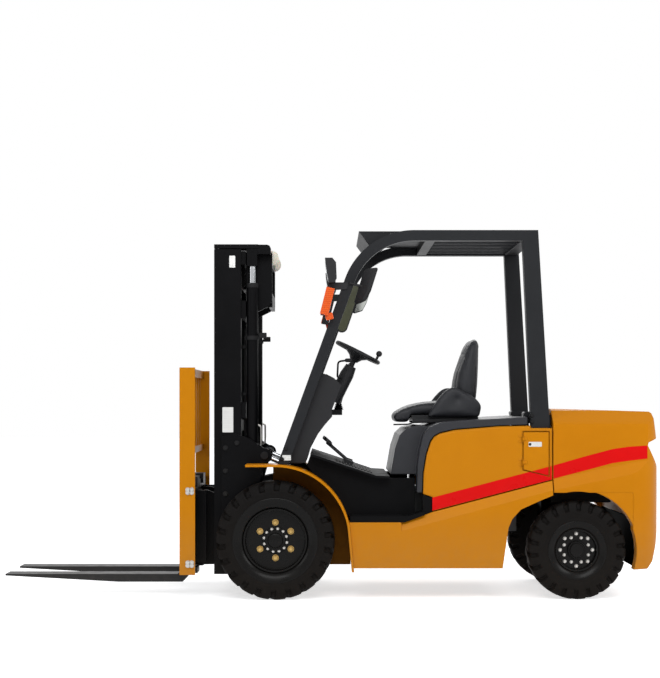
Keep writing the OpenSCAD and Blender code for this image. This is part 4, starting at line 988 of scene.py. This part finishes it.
# %% Lenses
def crowned(centre, right, upward, half, rise, power=4.0, count=25):
    """A lens: point = centre + a * right + b * upward + rise * (1 - |a|^p) * (1 - |b|^p) * normal, with a flat back behind it."""
    right, upward = np.asarray(right, float), np.asarray(upward, float)
    normal = np.cross(right, upward)
    a = np.linspace(-1, 1, count)[:, None, None]
    b = np.linspace(-1, 1, count)[None, :, None]
    front = rise * (1 - np.abs(a) ** power) * (1 - np.abs(b) ** power)
    flat = np.asarray(centre, float) + a * half[0] * right + b * half[1] * upward
    rim = flat + 0.6 * normal
    walls = [(flat[0], rim[0]), (rim[-1], flat[-1]), (rim[:, 0], flat[:, 0]), (flat[:, -1], rim[:, -1])]
    return joined(skin(flat + (front + 0.6) * normal), skin(flat[::-1]), *[skin(np.stack(wall)) for wall in walls])


tilt = math.atan2(22, 147)
lamp_up = (math.sin(tilt), 0, math.cos(tilt))
lamp_lens = [crowned((-307 + 0.4, sign * 560, 1964), (0, 1, 0), lamp_up, (42, 64), 4) for sign in (1, -1)]
piece("headlamp_lenses", joined(*lamp_lens), clear_lens, "chassis")
tail_lens = [crowned((-2305 + 61.6, sign * 425, 887), (0, -1, 0), (0, 0, 1), (51, 21), 6) for sign in (1, -1)]
piece("tail_lamp_lenses", joined(*tail_lens), red_lens, "chassis")
repeater = sweep([(-322, 548, 1690), (-322, 582, 1690)], slab_section(46, 40, 7), up=(0.24, 0, 0.97))
piece("small_turn_lamps", mirrored(repeater), orange_lens, "chassis", bevel_mm=2)
print("lenses on 3 kinds of lamp")

# %% [markdown]
# ## Mirrors
# A mirror's outline is the tight line round a few circles.
# In any direction that line touches the circle which reaches furthest, so no hull has to be searched for.
# The shell is that outline carried back and drawn in, as a moulding is, and the glass is the outline drawn in by a few millimetres.

# %% Shells and glass
def round_outline(circles, inset=0.0, count=72):
    """The line round circles (x, z, r): for each direction d the circle with the largest c.d + r gives the point c + (r - inset) d."""
    circles = np.asarray(circles, float)
    a = np.linspace(0, 2 * np.pi, count, endpoint=False)
    d = np.stack([np.cos(a), np.sin(a)], 1)
    furthest = np.argmax(d @ circles[:, :2].T + circles[:, 2], 1)
    return circles[furthest, :2] + (circles[furthest, 2:] - inset) * d


leaning = [(-80, 94, 10), (-20, 62, 40), (-8, -18, 30), (20, -70, 22), (76, -94, 14)]
cup = loft([(round_outline(leaning, inset), y) for inset, y in ((3, -8), (0, -6), (0, 0), (2, 8), (5, 14), (9, 18))])
stalk = sweep([(-444, 533, 1892), (-490, 533, 1880), (-540, 536, 1868)], ring_section(7, 14), up=(0, 1, 0))
tall = [(50, -118, 45), (-50, 117, 40)]
tall_cup = loft([(round_outline(tall, inset), y) for inset, y in ((8, -16), (2, -12), (0, -6), (0, 0))])
tall_stalk = sweep([(-418, -458, 1790), (-430, -425, 1792), (-446, -396, 1796)], ring_section(8, 14))
cups = joined(mirrored(joined(placed(cup, (-542, 540, 1875), -45), stalk)), placed(tall_cup, (-448, -395, 1798), 30), tall_stalk)
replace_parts(piece("mirror_shells", cups, moulded_abs, "chassis", sharp=40), "mirrors")
glass = slab(round_outline(leaning, 7), -8.2, -9.4)
piece("mirror_panes", mirrored(placed(glass, (-542, 540, 1875), -45)), mirror_glass, "chassis", sharp=30)
# Its pane is coloured dark as a painted reflection of the cab.
piece("tall_mirror_pane", placed(slab(round_outline(tall, 9), 0.2, 1.4), (-448, -395, 1798), 30), cab_reflection_glass, "chassis", sharp=30)
print("2 mirrors outside, 1 inside")

# %% [markdown]
# ## The operator's place
# Levers, dials, pads and treads are what a driver touches, so they get their own shapes.
# The direction lever is a rod bent along five points, the boots are turned with a wavy profile, and the treads are ribs across the step.

# %% Levers, boots and pads
def bent_rod(points, radius, fine=8):
    """A rod along a smooth line: the corner points are rounded off by averaging with a moving window, then a circle is carried along."""
    points = np.asarray(points, float)
    run = running(points)
    t = np.linspace(0, run[-1], fine * len(points) * 2)
    line = np.stack([np.interp(t, run, c) for c in points.T], 1)
    window = np.ones(fine) / fine
    padded_line = np.concatenate([np.repeat(line[:1], fine // 2, 0), line, np.repeat(line[-1:], fine - fine // 2 - 1, 0)])
    line = np.stack([np.convolve(c, window, "valid") for c in padded_line.T], 1)
    return sweep(line, ring_section(radius, 12), up=(0.02, 1, 0.03))


lever = bent_rod([(-392, 40, 1330), (-372, 118, 1338), (-376, 128, 1424), (-385, 130, 1434), (-436, 132, 1440)], 6)
knob = turned([(0, -24), (9, -24), (12, -14), (12, 12), (9, 20), (0, 22)], (0, 0, 0), axis=0, steps=20)
piece("direction_lever", joined(lever, (knob[0] + (-440, 132, 1440), knob[1])), moulded_abs, "chassis", bevel_mm=0.6)
wave = np.linspace(0, 1, 25)
boot = np.stack([30 - 20 * wave + 3.5 * np.cos(wave * 12 * np.pi), 70 * wave], 1)
boot = np.concatenate([[(0, 0)], boot, [(0, 70)]])
boots = repeated(turned(boot, (0, 0, 0), axis=2, steps=28), [(-382, y, 1129.5) for y in (-290, -345, -400)])
piece("lever_boots", boots, floor_rubber, "chassis")
lean = leaned(-41)
rib = sweep([(0, -30, 0), (0, 30, 0)], slab_section(7, 4, 1.2))
pads = np.stack([np.array([-306.0, y, 930.0]) + lean @ (d, 0.0, 14.0) for y in (-190, 60, 190) for d in (-20, -10, 0, 10, 20)])
piece("pedal_treads", repeated(rib, pads, np.repeat(lean[None], len(pads), 0)), floor_rubber, "chassis", bevel_mm=0.5)
step_rib = sweep([(-460, 0, 0), (-760, 0, 0)], slab_section(9, 4, 1.2))
treads = repeated(step_rib, [(0, y, 501.6) for y in (470, 490, 510, 530, 550, 568)])
piece("step_treads", mirrored(treads), floor_rubber, "chassis", bevel_mm=0.5)
mat_rib = sweep([(-606, -380, 0), (-606, 380, 0)], slab_section(10, 4, 1.5))
slope = math.atan2(132, 392)
run = np.linspace(30, 250, 12)
ribs = repeated(mat_rib, np.stack([run * np.cos(slope), 0 * run, 741.4 + run * np.sin(slope)], 1))
piece("mat_ribs", ribs, floor_rubber, "chassis", bevel_mm=0.5)
print("levers, boots and treads done")

# The steering wheel's boss: a dished cone of moulded plastic under the spokes, turned about the column.
boss = turned([(0, -62), (24, -62), (30, -52), (44, -34), (74, -16), (78, -8), (70, -3), (0, -1)], (0, 0, 0), axis=2, steps=48)
piece("wheel_boss", (boss[0] @ leaned(-26.6).T + (-502, 0, 1492), boss[1]), moulded_abs, "steering_wheel", sharp=50)

# %% Dials
panel_up = np.array([74.0, 0, 38.0]) / math.hypot(74, 38)
dial_base = sweep([(-326, -200, 1334.5), (-326, 200, 1334.5)], slab_section(12, 66, 5), up=panel_up)
piece("dial_frame", dial_base, moulded_abs, "chassis", bevel_mm=1)
off_panel = 6.4 * np.array([-panel_up[2], 0, panel_up[0]])
dials = joined(*[crowned(np.array([-326, y, 1334.5]) + off_panel, (0, 1, 0), -panel_up, (w, 24), 1.5) for y, w in ((-120, 60), (60, 100))])
piece("dial_glass", dials, mirror_glass, "chassis")
print("dials done")

# %% [markdown]
# ## Mast fittings and the seat lever
# Hose pulleys of cream nylon show behind the mast's top, pipes run down the inside of its rails, and the lift cylinders have gland nuts.
# These are turned shapes and rods, and each sits on the solid that carries it.

# %% Pulleys, pipes and glands
groove = [(10, 206), (40, 206), (46, 209), (46, 212), (36, 218), (36, 224), (46, 230), (46, 233), (40, 236), (10, 236), (10, 206)]
pulley = turned(groove, (36, 0, 2068), steps=56)
shaft = turned([(0, 198), (10.5, 198), (10.5, 241), (0, 241)], (36, 0, 2068), steps=20)
piece("hose_pulleys", mirrored(pulley), cream_nylon, "outer_mast")
piece("hose_pulley_shafts", mirrored(shaft), zinc_plate, "outer_mast")
gland = turned([(22.4, 1880), (37.5, 1880), (37.5, 1902), (33, 1908), (24, 1908), (22.4, 1904)], (150, 308, 0), axis=2, steps=40)
collar = turned([(36.1, 1560), (42, 1560), (42, 1585), (36.1, 1585), (36.1, 1560)], (150, 308, 0), axis=2, steps=40)
piece("lift_glands", mirrored(joined(gland, collar)), chassis_black, "outer_mast")
pipe = bent_rod([(196, 262, 340), (196, 262, 900), (196, 262, 1600), (186, 262, 1660), (160, 268, 1668), (152, 276, 1668)], 8, fine=10)
clips = repeated(sweep([(0, -14, 0), (0, 14, 0)], slab_section(30, 20, 4)), [(198, 262, z) for z in (480, 820, 1230, 1520)])
piece("lift_pipes", mirrored(pipe), chassis_black, "outer_mast")
piece("pipe_clips", mirrored(clips), chassis_black, "outer_mast", bevel_mm=1)
seat_lever = bent_rod([(-860, 205, 1060), (-832, 205, 1050), (-812, 206, 1042), (-716, 207, 1040)], 4.5)
piece("seat_lever", seat_lever, chassis_black, "hood")
port = sweep([(86, 0, 0), (86, 24, 0)], slab_section(48, 32, 4))
head_edges = ([(182, 2010), (182, 2141), (118, 2141), (118, 2010)], [(119, 2082), (119, 2141), (58, 2141), (43, 2135), (36, 2120), (36, 2082)])
rod_head = joined(*[slab(edge, 270, 345) for edge in head_edges])
piece("rod_heads", mirrored(rod_head), black_enamel, "inner_mast", bevel_mm=2)
piece("lift_ports", mirrored((port[0] + (0, 296, 1588), port[1])), chassis_black, "outer_mast", bevel_mm=1)
feed = bent_rod([(118, 305, 904), (97, 305, 914), (96, 305, 960), (97, 305, 1030), (118, 305, 1042)], 5.5, fine=10)
piece("lift_feed_pipes", mirrored(feed), zinc_plate, "outer_mast")
print("fittings done,", len(made_pieces), "pieces,", sum(len(p.data.polygons) for p in made_pieces), "faces before modifiers")
